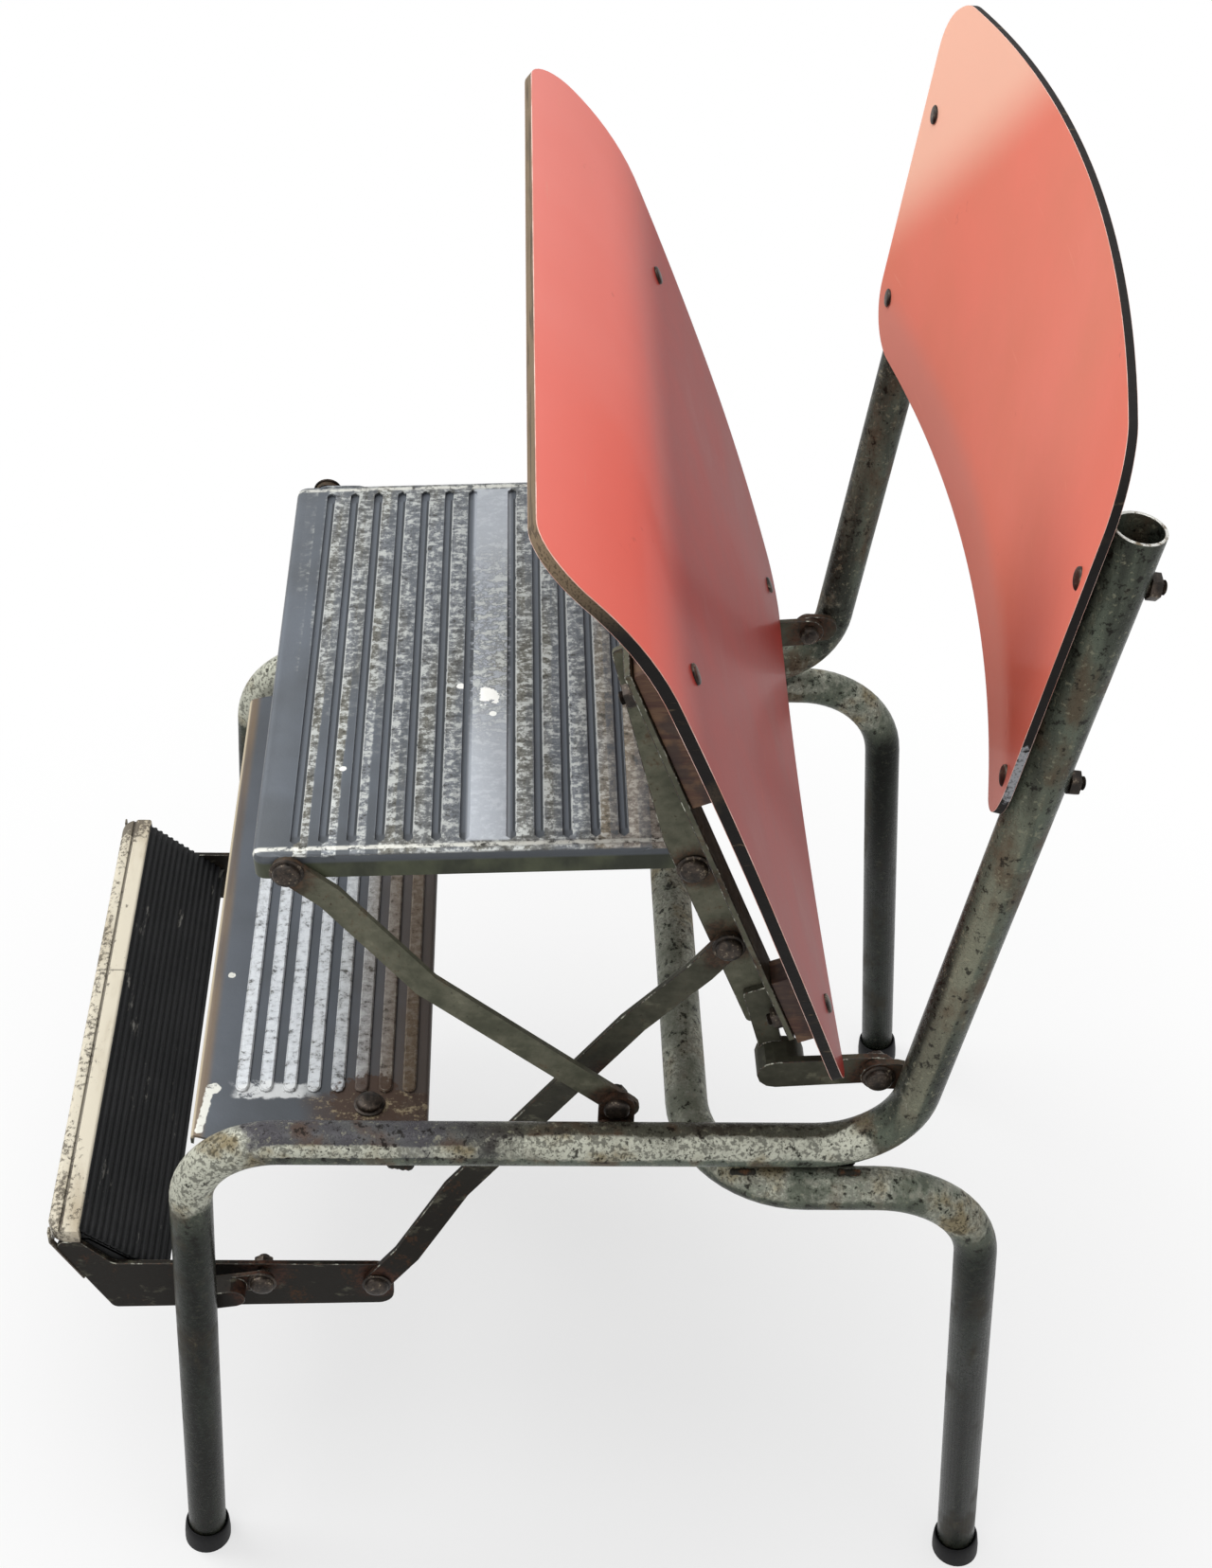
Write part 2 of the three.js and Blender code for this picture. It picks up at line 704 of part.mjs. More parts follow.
// A shallow pan with rounded edges, open underneath
function pressedPan(width, depth, height, cornerRadius, edgeRadius, wall) {
  const body = (inset, drop) => {
    const w = width / 2 - inset - edgeRadius;
    const d = depth - inset * 2 - edgeRadius * 2;
    const y = inset + edgeRadius;
    const r = cornerRadius - edgeRadius;
    const outline = roundedShape([
      [-w, y, r],
      [w, y, r],
      [w, y + d, r],
      [-w, y + d, r],
    ]);
    const block = new THREE.ExtrudeGeometry(outline, {
      depth: height + drop,
      bevelThickness: edgeRadius,
      bevelSize: edgeRadius,
      bevelSegments: 2,
      curveSegments: 2,
    });
    block.translate(0, 0, -height - drop - edgeRadius);
    return solidOf(block);
  };
  const keep = new THREE.BoxGeometry(width * 2, depth * 3, height);
  keep.translate(0, 0, -height / 2);
  const outside = body(0, edgeRadius).intersect(solidOf(keep));
  const inside = body(wall, edgeRadius + overrun).translate([0, 0, -wall]);
  return outside.subtract(inside);
}

// A bar with round ends along X, standing on a level
function lateralBead(halfLength, width, y, low, high, taper) {
  const outline = barShape(
    new THREE.Vector2(-halfLength + width / 2, y),
    new THREE.Vector2(halfLength - width / 2, y),
    width - taper * 2,
  );
  const bead = new THREE.ExtrudeGeometry(outline, {
    depth: high - low - taper * 2,
    bevelEnabled: taper > 0,
    bevelThickness: taper,
    bevelSize: taper,
    bevelSegments: 1,
    curveSegments: taper > 0 ? 2 : 1,
  });
  bead.translate(0, 0, low + taper);
  return solidOf(bead);
}

function upperStepSolid() {
  const run = plateRearPivot.clone().sub(plateFrontPivot);
  const depth = run.length() + plateNose + plateTail;
  let plate = pressedPan(flangeFace * 2, depth, plateFlange, plateCornerRadius, plateEdgeRadius, sheet);
  const grooveY = [];
  for (let i = 0; i < grooveBeforeBand; i++) {
    grooveY.push(grooveStart + i * groovePitch);
  }
  const bandEnd = grooveStart + (grooveBeforeBand - 1) * groovePitch + grooveBand;
  for (let i = 0; i < grooveAfterBand; i++) {
    grooveY.push(bandEnd + i * groovePitch);
  }
  const grooveHalf = flangeFace - grooveMargin;
  for (const y of grooveY) {
    const under = -sheet - grooveDepth;
    plate = plate.add(lateralBead(grooveHalf + sheet, grooveWidth + sheet * 2, y, under, -sheet / 2, 0));
    plate = plate.subtract(lateralBead(grooveHalf, grooveWidth, y, -grooveDepth, overrun, 0));
  }
  // Ears of the side flanges round the two pivots
  const pivotDrop = -plateRise;
  for (const side of [-1, 1]) {
    for (const [y, inward] of [
      [plateNose, 1],
      [plateNose + run.length(), -1],
    ]) {
      const eye = new THREE.Vector2(y, pivotDrop);
      const earRoot = new THREE.Vector2(y + inward * plateEarLength, -plateFlange / 2 - gap);
      const ear = barShape(eye, earRoot, plateEarRadius * 2);
      const inner = side > 0 ? flangeFace - sheet : -flangeFace;
      plate = plate.add(sideways(ear, inner, inner + sheet));
      plate = plate.subtract(boreAlongX(y, pivotDrop, boltHole, inner - overrun, inner + sheet + overrun));
    }
  }
  const tilt = Math.atan2(run.y, run.x);
  const turn = new THREE.Matrix4().makeRotationX(tilt);
  const start = new THREE.Vector3(0, -plateNose, plateRise).applyMatrix4(turn);
  turn.setPosition(0, plateFrontY + start.y, plateFrontZ + start.z);
  return plate.transform(turn.toArray());
}

function fixedStepSolid() {
  const half = lugFace;
  const front = fixedFrontY;
  const rear = fixedRearY;
  // Profile from the rolled front edge to the rear flange
  const section = roundedShape([
    [front, fixedTop - fixedRoll],
    [front + sheet, fixedTop - fixedRoll],
    [front + sheet, fixedTop - sheet, fixedFrontRound - sheet],
    [rear - sheet, fixedTop - sheet, fixedRearRound - sheet],
    [rear - sheet, fixedTop - fixedFlange],
    [rear, fixedTop - fixedFlange],
    [rear, fixedTop, fixedRearRound],
    [front, fixedTop, fixedFrontRound],
  ]);
  let plate = sideways(section, -half, half);
  // The front corners give way to the bends of the tubes
  for (const side of [-1, 1]) {
    const corner = roundedShape([
      [side * (half + overrun), front - overrun],
      [side * (half - fixedCornerIn), front - overrun],
      [side * (half - fixedCornerIn), front, fixedCornerRound],
      [side * half, front + fixedCorner, fixedCornerRound],
      [side * (half + overrun), front + fixedCorner],
    ]);
    const cutter = new THREE.ExtrudeGeometry(corner, { depth: fixedFlange * 4, bevelEnabled: false });
    cutter.translate(0, 0, fixedTop - fixedFlange * 2);
    plate = plate.subtract(solidOf(cutter));
    // Upstand along the rail
    const inner = side > 0 ? half - sheet : -half;
    const upstand = roundedShape([
      [front + fixedCorner, fixedTop - sheet],
      [rear, fixedTop - sheet],
      [rear, fixedTop - sheet + fixedUpstand, fixedUpstandRound],
      [front + fixedCorner, fixedTop - sheet + fixedUpstand, fixedUpstandRound],
    ]);
    plate = plate.add(sideways(upstand, inner, inner + sheet));
  }
  for (let i = 0; i < ribCount; i++) {
    const y = ribFirstY + i * ribPitch;
    const round = sheet / 2;
    const ribTop = fixedTop + ribHeight;
    plate = plate.add(lateralBead(ribHalf, ribWidth, y, fixedTop - sheet, ribTop, round));
    const under = fixedTop - sheet - overrun;
    plate = plate.subtract(lateralBead(ribHalf - sheet, ribWidth - sheet * 2, y, under, ribTop - sheet, 0));
  }
  for (const side of [-1, 1]) {
    const hole = new THREE.CylinderGeometry(boltHole, boltHole, fixedFlange * 2, holeFacets);
    hole.rotateX(Math.PI / 2);
    hole.translate(side * plateScrewX, plateScrewY, fixedTop);
    plate = plate.subtract(solidOf(hole));
  }
  return plate;
}

function addSteps() {
  addNode("upper_step_plate", "plate", upperStepSolid());
  addNode("fixed_step_plate", "plate", fixedStepSolid());
  const lugTop = fixedTop - sheet - gap;
  const box = (fromX, toX, fromZ, toZ) => {
    const block = new THREE.BoxGeometry(toX - fromX, plateLugWidth, toZ - fromZ);
    block.translate((fromX + toX) / 2, plateScrewY, (fromZ + toZ) / 2);
    return solidOf(block);
  };
  const lugFloor = lugTop - plateLugThickness;
  // A bar below the plate, turned up at its outer end to the inner side of the rail
  const riserIn = lugFace + gap;
  const riserOut = riserIn + plateLugThickness;
  const riserTop = railHeight - Math.sqrt((tubeRadius + gap) ** 2 - (sideX - riserOut) ** 2);
  const bar = box(plateScrewX - plateLugWidth / 2, riserOut, lugFloor, lugTop);
  const riser = box(riserIn, riserOut, lugFloor, riserTop);
  const bore = new THREE.CylinderGeometry(boltHole, boltHole, plateLugThickness * 4, holeFacets);
  bore.rotateX(Math.PI / 2);
  bore.translate(plateScrewX, plateScrewY, lugTop);
  addPair("fixed_step_lug", "link", joined(bar, riser).subtract(solidOf(bore)));
  const screw = bolt({
    at: new THREE.Vector3(plateScrewX, plateScrewY, fixedTop),
    direction: new THREE.Vector3(0, 0, 1),
    grip: sheet + gap + plateLugThickness,
  });
  addPair("fixed_step_screw", "screw", screw);
}

// Lower step

function addLowerStep() {
  const innerFace = lowerArmFace - lowerArmThickness;
  const arm = roundedShape([
    [lowerArmRearY, lowerArmRearZ, lowerArmEndRadius],
    [lowerArmRearY, lowerArmTop, lowerArmEndRadius],
    [lowerArmRiseY, lowerArmTop, lowerArmEndRadius / 2],
    [lowerArmLipY, nosingTop - nosingHeight - gap, lowerArmEndRadius / 3],
    [lowerArmNoseY, nosingTop - nosingHeight - gap, lowerArmEndRadius / 2],
    [lowerArmHeelY, lowerArmFrontZ, lowerArmEndRadius / 2],
  ]);
  let plate = sideways(arm, innerFace, lowerArmFace);
  for (const pivot of [stepPivot, lowerLinkPivot]) {
    plate = plate.subtract(boreAlongX(pivot.x, pivot.y, boltHole, innerFace - overrun, lowerArmFace + overrun));
  }
  addPair("lower_step_arm", "link", plate);

  const half = innerFace - gap;
  const nosingFloor = nosingTop - nosingHeight;
  const slope = new THREE.Vector2(treadRearY - nosingRearY, treadRearZ - nosingTop).normalize();
  const outward = new THREE.Vector2(-slope.y, slope.x);
  // The rubber lies on the sloping part of the pan, and its top runs from the nosing to the rear edge
  const treadTop = new THREE.Vector2(nosingRearY + gap, nosingTop - nosingGroove);
  const treadEnd = new THREE.Vector2(treadRearY, treadRearZ);
  const under = (point, depth) => point.clone().addScaledVector(outward, -depth);
  const panTop = treadRubber + gap;
  const high = under(treadTop, panTop);
  const low = under(treadEnd, panTop);
  const highIn = under(treadTop, panTop + panSheet);
  const lowIn = under(treadEnd, panTop + panSheet);
  const level = nosingFloor - gap;
  const meet = (from, height) => from.x + ((height - from.y) * slope.x) / slope.y;
  const panFrontY = lowerArmNoseY + lowerArmEndRadius / 2;
  const section = roundedShape([
    [panFrontY, level - panLip],
    [panFrontY + panSheet, level - panLip],
    [panFrontY + panSheet, level - panSheet],
    [meet(highIn, level - panSheet), level - panSheet],
    [lowIn.x, lowIn.y],
    [lowIn.x, lowIn.y - panLip],
    [low.x + panSheet * panRearShare, lowIn.y - panLip],
    [low.x + panSheet * panRearShare, low.y - panSheet * panRearDropShare],
    [meet(high, level), level],
    [panFrontY, level],
  ]);
  addNode("lower_step_pan", "link", sideways(section, -half, half));

  const rubber = new THREE.Shape();
  const start = treadTop.clone();
  const length = treadEnd.distanceTo(treadTop);
  rubber.moveTo(start.x, start.y);
  const pitch = length / treadRibs;
  for (let i = 0; i < treadRibs; i++) {
    for (const [share, depth] of [
      [treadRibShare, 0],
      [treadValleyShares[0], treadRibHeight],
      [treadValleyShares[1], treadRibHeight],
      [1, 0],
    ]) {
      const point = start.clone().addScaledVector(slope, (i + share) * pitch).addScaledVector(outward, -depth);
      rubber.lineTo(point.x, point.y);
    }
  }
  const rearBottom = under(treadEnd, treadRubber);
  const frontBottom = under(treadTop, treadRubber);
  rubber.lineTo(rearBottom.x, rearBottom.y);
  rubber.lineTo(meet(frontBottom, nosingFloor), nosingFloor);
  rubber.lineTo(start.x, nosingFloor);
  rubber.closePath();
  addNode("lower_step_rubber", "rubber", sideways(rubber, -half, half));

  // Two rounded bands with a groove between them, the outer one lapping over the front
  const crown = nosingHeight * crownShare;
  const profile = roundedShape([
    [nosingFrontY, nosingFloor - nosingHeight],
    [lowerArmNoseY - gap * 2, nosingFloor - nosingHeight],
    [lowerArmNoseY - gap * 2, nosingFloor],
    [nosingRearY, nosingFloor],
    [nosingRearY, nosingTop, crown / 2],
    [nosingGrooveY + nosingGroove / 2, nosingTop, crown / 3],
    [nosingGrooveY + nosingGroove / 2, nosingTop - nosingGroove],
    [nosingGrooveY - nosingGroove / 2, nosingTop - nosingGroove],
    [nosingGrooveY - nosingGroove / 2, nosingTop, crown / 3],
    [nosingFrontY, nosingTop, crown],
  ]);
  let nosing = sideways(profile, -lowerArmFace, lowerArmFace, 4);
  for (const side of [-1, 1]) {
    const r = nosingCornerRadius;
    const edge = side * lowerArmFace;
    const outline = new THREE.Shape();
    outline.moveTo(edge + side * overrun, nosingFrontY - overrun);
    outline.lineTo(edge - side * r, nosingFrontY - overrun);
    outline.lineTo(edge - side * r, nosingFrontY);
    outline.absarc(edge - side * r, nosingFrontY + r, r, -Math.PI / 2, side > 0 ? 0 : -Math.PI, side < 0);
    outline.lineTo(edge + side * overrun, nosingFrontY + r);
    outline.closePath();
    const cutter = new THREE.ExtrudeGeometry(outline, {
      depth: nosingHeight * 4,
      bevelEnabled: false,
      curveSegments: 5,
    });
    cutter.translate(0, 0, nosingFloor - nosingHeight * 2);
    nosing = nosing.subtract(solidOf(cutter));
  }
  addNode("lower_step_nosing", "nosing", nosing);
}

// Panels

// A panel's half width at a point along it, once its rounded corners are off
function roundedHalf(straight, along, length, endRadius, farRadius) {
  const lost = (radius, missing) => radius - Math.sqrt(Math.max(radius ** 2 - Math.max(missing, 0) ** 2, 0));
  return straight - lost(endRadius, endRadius - along) - lost(farRadius, farRadius - (length - along));
}

// Places along a panel for its rows of points: close together round the corners and even between them
function rowPlaces(length, endRadius, farRadius, between) {
  const turns = [...Array(cornerSteps).keys()].map((i) => (Math.PI / 2) * (i / cornerSteps));
  const near = turns.map((turn) => endRadius * (1 - Math.cos(turn)));
  const far = turns.map((turn) => length - farRadius * (1 - Math.cos(turn))).reverse();
  const middle = [];
  for (let i = 0; i <= between; i++) {
    middle.push(THREE.MathUtils.lerp(endRadius, length - farRadius, i / between));
  }
  return [...near, ...middle, ...far];
}

// A moulded panel: rows of points across its outline, and the same rows a thickness below
function mouldedPanel({ places, columns, halfWidth, surface, thickness }) {
  const rows = places.length - 1;
  const points = [];
  for (const depth of [0, thickness]) {
    for (const along of places) {
      const half = halfWidth(along);
      for (let j = 0; j <= columns; j++) {
        const x = half * ((2 * j) / columns - 1);
        const here = surface(x, along);
        const ahead = surface(x, along + gap).sub(here);
        const aside = surface(x + gap, along).sub(here);
        const normal = aside.cross(ahead).normalize();
        points.push(here.addScaledVector(normal, -depth));
      }
    }
  }
  const index = [];
  const wide = columns + 1;
  const layer = (rows + 1) * wide;
  const quad = (a, b, c, d) => index.push(a, b, c, a, c, d);
  for (let i = 0; i < rows; i++) {
    for (let j = 0; j < columns; j++) {
      const a = i * wide + j;
      quad(a, a + 1, a + wide + 1, a + wide);
      quad(layer + a, layer + a + wide, layer + a + wide + 1, layer + a + 1);
    }
    const left = i * wide;
    const right = left + columns;
    quad(left, left + wide, layer + left + wide, layer + left);
    quad(right, layer + right, layer + right + wide, right + wide);
  }
  for (let j = 0; j < columns; j++) {
    const last = rows * wide + j;
    quad(j, layer + j, layer + j + 1, j + 1);
    quad(last, last + 1, layer + last + 1, layer + last);
  }
  const geometry = new THREE.BufferGeometry().setFromPoints(points);
  geometry.setIndex(index);
  return solidOf(geometry);
}

const seatLength = seatFrontU - seatRearU;

// How far below the hinge line the seat's upper face lies
function seatDepthAt(x, along) {
  const behind = Math.max(seatMiddleU - along, 0) / (seatMiddleU - seatRearU);
  const ahead = Math.max(along - seatCurlU, 0) / (seatFrontU - seatCurlU);
  const hollow = Math.max(1 - (x / seatHalf) ** 2, 0) * (1 - ((along - seatRearU) / seatLength) ** 3);
  return seatRearDrop * behind ** 2 + seatCurlDrop * ahead ** 2 + seatDish * hollow;
}

function seatPoint(x, along) {
  const place = onSeat(along, seatDepthAt(x, along));
  return new THREE.Vector3(x, place.x, place.y);
}

function seatHalfAt(along) {
  const behind = Math.max(seatTaperU - along, 0) / (seatTaperU - seatRearU);
  const straight = seatHalf - seatRearTaper * behind ** 2;
  return roundedHalf(straight, along - seatRearU, seatLength, seatRearRadius, seatFrontRadius);
}

const offSeat = new THREE.Vector3(0, -seatBelow.x, -seatBelow.y);

// A cutter square to the seat, from a place along it down through a depth
function seatBore(x, along, from, to) {
  const place = onSeat(along, 0);
  const profile = [
    [0, -to],
    [boltHole, -to],
    [boltHole, -from],
    [0, -from],
  ];
  return turned(profile, new THREE.Vector3(x, place.x, place.y), offSeat);
}

function addSeat() {
  const places = rowPlaces(seatLength, seatRearRadius, seatFrontRadius, seatRows);
  let panel = mouldedPanel({
    places,
    columns: seatColumns,
    halfWidth: (along) => seatHalfAt(seatRearU + along),
    // counted from the left, so that the first face is the upper one
    surface: (x, along) => seatPoint(-x, seatRearU + along),
    thickness: seatThickness,
  });
  for (const along of [seatFrontScrewU, seatRearScrewU]) {
    for (const x of [seatScrewX, -seatScrewX]) {
      panel = panel.subtract(seatBore(x, along, -overrun, armFlangeRearN));
    }
  }
  addNode("seat_panel", "laminate", panel);
}

function armFlangeLevel(along) {
  return THREE.MathUtils.mapLinear(along, armRearU, armFrontU, armFlangeRearN, armFlangeFrontN);
}

// An outline in the seat's own lengths, laid in the Y-Z plane
function seatOutline(corners) {
  return roundedShape(
    corners.map(([along, below, radius]) => {
      const place = onSeat(along, below);
      return [place.x, place.y, radius ?? 0];
    }),
  );
}

function addSeatArms() {
  const innerFace = armFace - armWeb;
  const web = seatOutline([
    [armRearU, armFlangeLevel(armRearU)],
    [armFrontU, armFlangeLevel(armFrontU)],
    [armFrontU, armFlangeLevel(armFrontU) + armFrontDepth, armFrontRound],
    [armTaperU, armFlangeLevel(armTaperU) + armMiddleDepth, armMiddleDepth],
    [armRearU, armFlangeLevel(armRearU) + armRearDepth, armWeb],
  ]);
  const flange = seatOutline([
    [armRearU, armFlangeLevel(armRearU)],
    [armFrontU, armFlangeLevel(armFrontU)],
    [armFrontU, armFlangeLevel(armFrontU) + armWeb],
    [armRearU, armFlangeLevel(armRearU) + armWeb],
  ]);
  const ledge = sideways(flange, innerFace, innerFace + armFlangeWidth);
  let arm = joined(sideways(web, innerFace, armFace), ledge);
  for (const pivot of [armPlatePivot, armLinkPivot]) {
    arm = arm.subtract(boreAlongX(pivot.x, pivot.y, boltHole, innerFace - overrun, armFace + overrun));
  }
  const window = seatOutline([
    [armWindowU, armWindowN],
    [armWindowU, armWindowN - armWindow],
    [armWindowU + armWindow, armWindowN - armWindow],
    [armWindowU + armWindow, armWindowN],
  ]);
  arm = arm.subtract(sideways(window, innerFace - overrun, armFace + overrun));
  for (const along of [seatFrontScrewU, seatRearScrewU]) {
    const level = armFlangeLevel(along);
    arm = arm.subtract(seatBore(seatScrewX, along, level - overrun, level + overrun));
  }
  addPair("seat_arm", "link", arm);

  // At each screw: a block between the seat's underside and the flange, and a nut below the flange
  for (const [end, middle, length, share] of [
    ["front", seatFrontScrewU, packerLength, packerFrontShare],
    ["rear", seatRearScrewU, packerRearLength, packerRearShare],
  ]) {
    const upper = [];
    const lower = [];
    for (let i = 0; i <= packerSteps; i++) {
      const along = middle + length * (i / packerSteps - share);
      upper.push([along, seatDepthAt(seatScrewX, along) + seatThickness + gap * 3]);
      lower.unshift([along, armFlangeLevel(along) - gap]);
    }
    const inner = seatScrewX - packerWidth / 2;
    const block = sideways(seatOutline([...upper, ...lower]), inner, inner + packerWidth);
    addPair(`seat_packer_${end}`, "wood", block.subtract(seatBore(seatScrewX, middle, 0, armFlangeRearN * 2)));
    const screw = bolt({
      at: seatPoint(seatScrewX, middle).addScaledVector(offSeat, seatScrewLift),
      direction: offSeat,
      grip: armFlangeLevel(middle) + armWeb - seatDepthAt(seatScrewX, middle) + seatScrewLift,
      washer: false,
      slotTurn: seatSlotTurn,
    });
    addPair(`seat_screw_${end}`, "screw", screw);
  }

  // Hinge brackets, lapped on the outside of the arms' tails and cranked out to the hinge
  const innerLap = armFace + gap;
  const stem = seatOutline([
    [bracketTopU, bracketTopN - bracketStemWidth / 2, bracketStemRound],
    [bracketTopU, bracketTopN + bracketStemWidth / 2, bracketStemRound],
    [bracketElbowU - bracketWidth / 2, bracketElbowN + bracketStemWidth / 2, bracketElbowRadius],
    [bracketElbowU - bracketWidth / 2, bracketElbowN - bracketStemWidth / 2],
    [bracketElbowU + bracketWidth / 2, bracketElbowN - bracketStemWidth / 2],
  ]);
  const elbow = onSeat(bracketElbowU, bracketElbowN);
  const foot = sideways(barShape(elbow, hinge, bracketWidth), bracketFace - bracketThickness, bracketFace);
  const bridgeEnd = elbow.clone().lerp(hinge, bracketBridgeShare);
  const bridge = sideways(barShape(elbow, bridgeEnd, bracketWidth), innerLap, bracketFace);
  const lap = sideways(stem, innerLap, innerLap + bracketThickness);
  let bracket = joined(foot, bridge, lap);
  bracket = bracket.subtract(boreAlongX(hingeY, hingeZ, boltHole, innerLap, bracketFace + overrun));
  addPair("seat_hinge_bracket", "link", bracket);
}

const backHeight = backTopZ - backBottomZ;

function backSurface(x, along) {
  const z = backBottomZ + along;
  const climb = (z - railHeight) / (uprightTopHeight - railHeight);
  const axisY = THREE.MathUtils.lerp(rearBendY, uprightTopY, climb);
  const axisX = sideX + uprightSplay * climb;
  const inward = 1 - (x / axisX) ** 2;
  const lean = uprightUp.y / uprightUp.z;
  const slant = Math.hypot(1, (2 * backBulge) / axisX, lean);
  const standOff = (tubeRadius + gap * 3) * slant + backThickness;
  const crown = backCrown * (along / backHeight) * Math.max(inward, 0);
  return new THREE.Vector3(x, axisY - standOff + backBulge * inward, z + crown);
}

function addBackrest() {
  let panel = mouldedPanel({
    places: rowPlaces(backHeight, backBottomRadius, backTopRadius, backRows),
    columns: backColumns,
    halfWidth: (along) => {
      const straight = THREE.MathUtils.lerp(backHalfBottom, backHalfTop, along / backHeight);
      return roundedHalf(straight, along, backHeight, backBottomRadius, backTopRadius);
    },
    surface: backSurface,
    thickness: backThickness,
  });
  const direction = new THREE.Vector3(0, -uprightUp.z, uprightUp.y).normalize();
  for (const [name, z] of [
    ["backrest_screw_upper", backUpperScrewZ],
    ["backrest_screw_lower", backLowerScrewZ],
  ]) {
    const climb = (z - railHeight) / (uprightTopHeight - railHeight);
    const axis = rearBend.clone().lerp(uprightTop, climb);
    const front = backSurface(axis.x, z - backBottomZ);
    const grip = axis.clone().sub(front).length() + tubeRadius;
    // Each drilling is sunk for the head, and goes through the panel and the tube
    const profile = [
      [0, -grip * 2],
      [boltHole, -grip * 2],
      [boltHole, -gap],
      [headRadius + gap * 3, -gap],
      [headRadius + gap * 3, grip],
      [0, grip],
    ];
    const drill = turned(profile, front, direction);
    for (const [side, cutter] of [
      ["left", drill],
      ["right", mirrored(drill)],
    ]) {
      panel = panel.subtract(cutter);
      const tube = root.getObjectByName(`side_tube_${side}`);
      tube.geometry = geometryOf(solidOf(tube.geometry).subtract(cutter));
    }
    addPair(name, "screw", bolt({ at: front, direction, grip, washer: false, slotTurn: backSlotTurn }));
  }
  addNode("backrest_panel", "laminate", panel);
}

// Bolts of the linkage, their heads outside

function addPivotBolts() {
  const strapGrip = strapThickness + gap * 2 + linkThickness + lowerArmThickness;
  const stacks = [
    ["hinge_bolt", hinge, hingeLugFace, hingeLugFace - bracketFace + bracketThickness],
    ["front_link_foot_bolt", frontPivot, frontLugFace, lugThickness + gap + linkThickness, false],
    ["upper_step_rear_bolt", armPlatePivot, armFace, armFace - flangeFace + sheet],
    ["long_link_top_bolt", armLinkPivot, longLinkTopFace, linkThickness + gap + armWeb],
    ["lower_step_pivot_bolt", stepPivot, longLinkFootFace + strapThickness + gap, strapGrip],
  ];
  for (const [name, pivot, face, grip, washer = true] of stacks) {
    const at = new THREE.Vector3(face, pivot.x, pivot.y);
    addPair(name, "screw", bolt({ at, direction: alongX, grip, washer }));
  }
  // The open pivots: these bolts stay with their links and end short of the piece that they would join
  for (const [name, pivot, face] of [
    ["upper_step_front_bolt", plateFrontPivot, frontLinkTopFace],
    ["long_link_foot_bolt", lowerLinkPivot, longLinkFootFace],
  ]) {
    const at = new THREE.Vector3(face, pivot.x, pivot.y);
    addPair(name, "screw", bolt({ at, direction: alongX, grip: linkThickness - gap * 2, nut: false }));
  }
}

addFrameTubes();
addPair("front_foot", "rubber", footOn(frontFoot, frontLegUp));
addPair("rear_foot", "rubber", footOn(rearFoot, rearLegUp));
addLugs();
addSteps();
addLowerStep();
addLinks();
addSeat();
addSeatArms();
addBackrest();
addPivotBolts();

export default root;
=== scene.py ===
"""Folding step stool chair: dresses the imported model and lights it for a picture."""

import json
import math

import bmesh
import bpy
from bmesh.types import BMEdge, BMVert
from mathutils import Matrix, Vector


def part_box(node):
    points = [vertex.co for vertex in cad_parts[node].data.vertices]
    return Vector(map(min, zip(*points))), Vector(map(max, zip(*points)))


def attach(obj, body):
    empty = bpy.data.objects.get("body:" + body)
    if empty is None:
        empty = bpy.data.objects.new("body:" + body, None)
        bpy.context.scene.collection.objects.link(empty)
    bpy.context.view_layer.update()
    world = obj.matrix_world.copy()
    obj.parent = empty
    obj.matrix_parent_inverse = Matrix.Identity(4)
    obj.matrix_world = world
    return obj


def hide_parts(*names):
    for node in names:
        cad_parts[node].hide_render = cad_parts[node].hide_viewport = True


bl_info = {
    "name": "Folding step stool chair",
    "version": (1, 0, 0),
    "blender": (4, 5, 0),
    "location": "3D View > Sidebar > Step stool",
    "description": "Builds the finished pieces of a folding step stool chair over its fixed frame",
    "category": "Object",
}

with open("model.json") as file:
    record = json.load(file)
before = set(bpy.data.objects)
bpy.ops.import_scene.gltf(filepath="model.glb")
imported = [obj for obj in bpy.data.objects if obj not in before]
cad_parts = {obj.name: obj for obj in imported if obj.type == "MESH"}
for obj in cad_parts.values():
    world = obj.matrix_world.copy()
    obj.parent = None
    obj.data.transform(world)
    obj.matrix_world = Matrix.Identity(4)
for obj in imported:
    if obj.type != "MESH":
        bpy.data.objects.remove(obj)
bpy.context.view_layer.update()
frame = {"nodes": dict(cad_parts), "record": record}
RECORD = frame["record"]
BODY_OF = {node: body for body, nodes in RECORD["behaviour"]["bodies"].items() for node in nodes}
SLOT_OF = {part["node"]: part["material_slot"] for part in RECORD["subparts"]}
SIDES = (("left", 1), ("right", -1))

MM = 0.001
UP = Vector((0, 0, 1))
LEFT = Vector((1, 0, 0))
MIRROR_X = Matrix.Diagonal((-1, 1, 1, 1))
MERGE = 1e-6  # Points nearer than this are one point

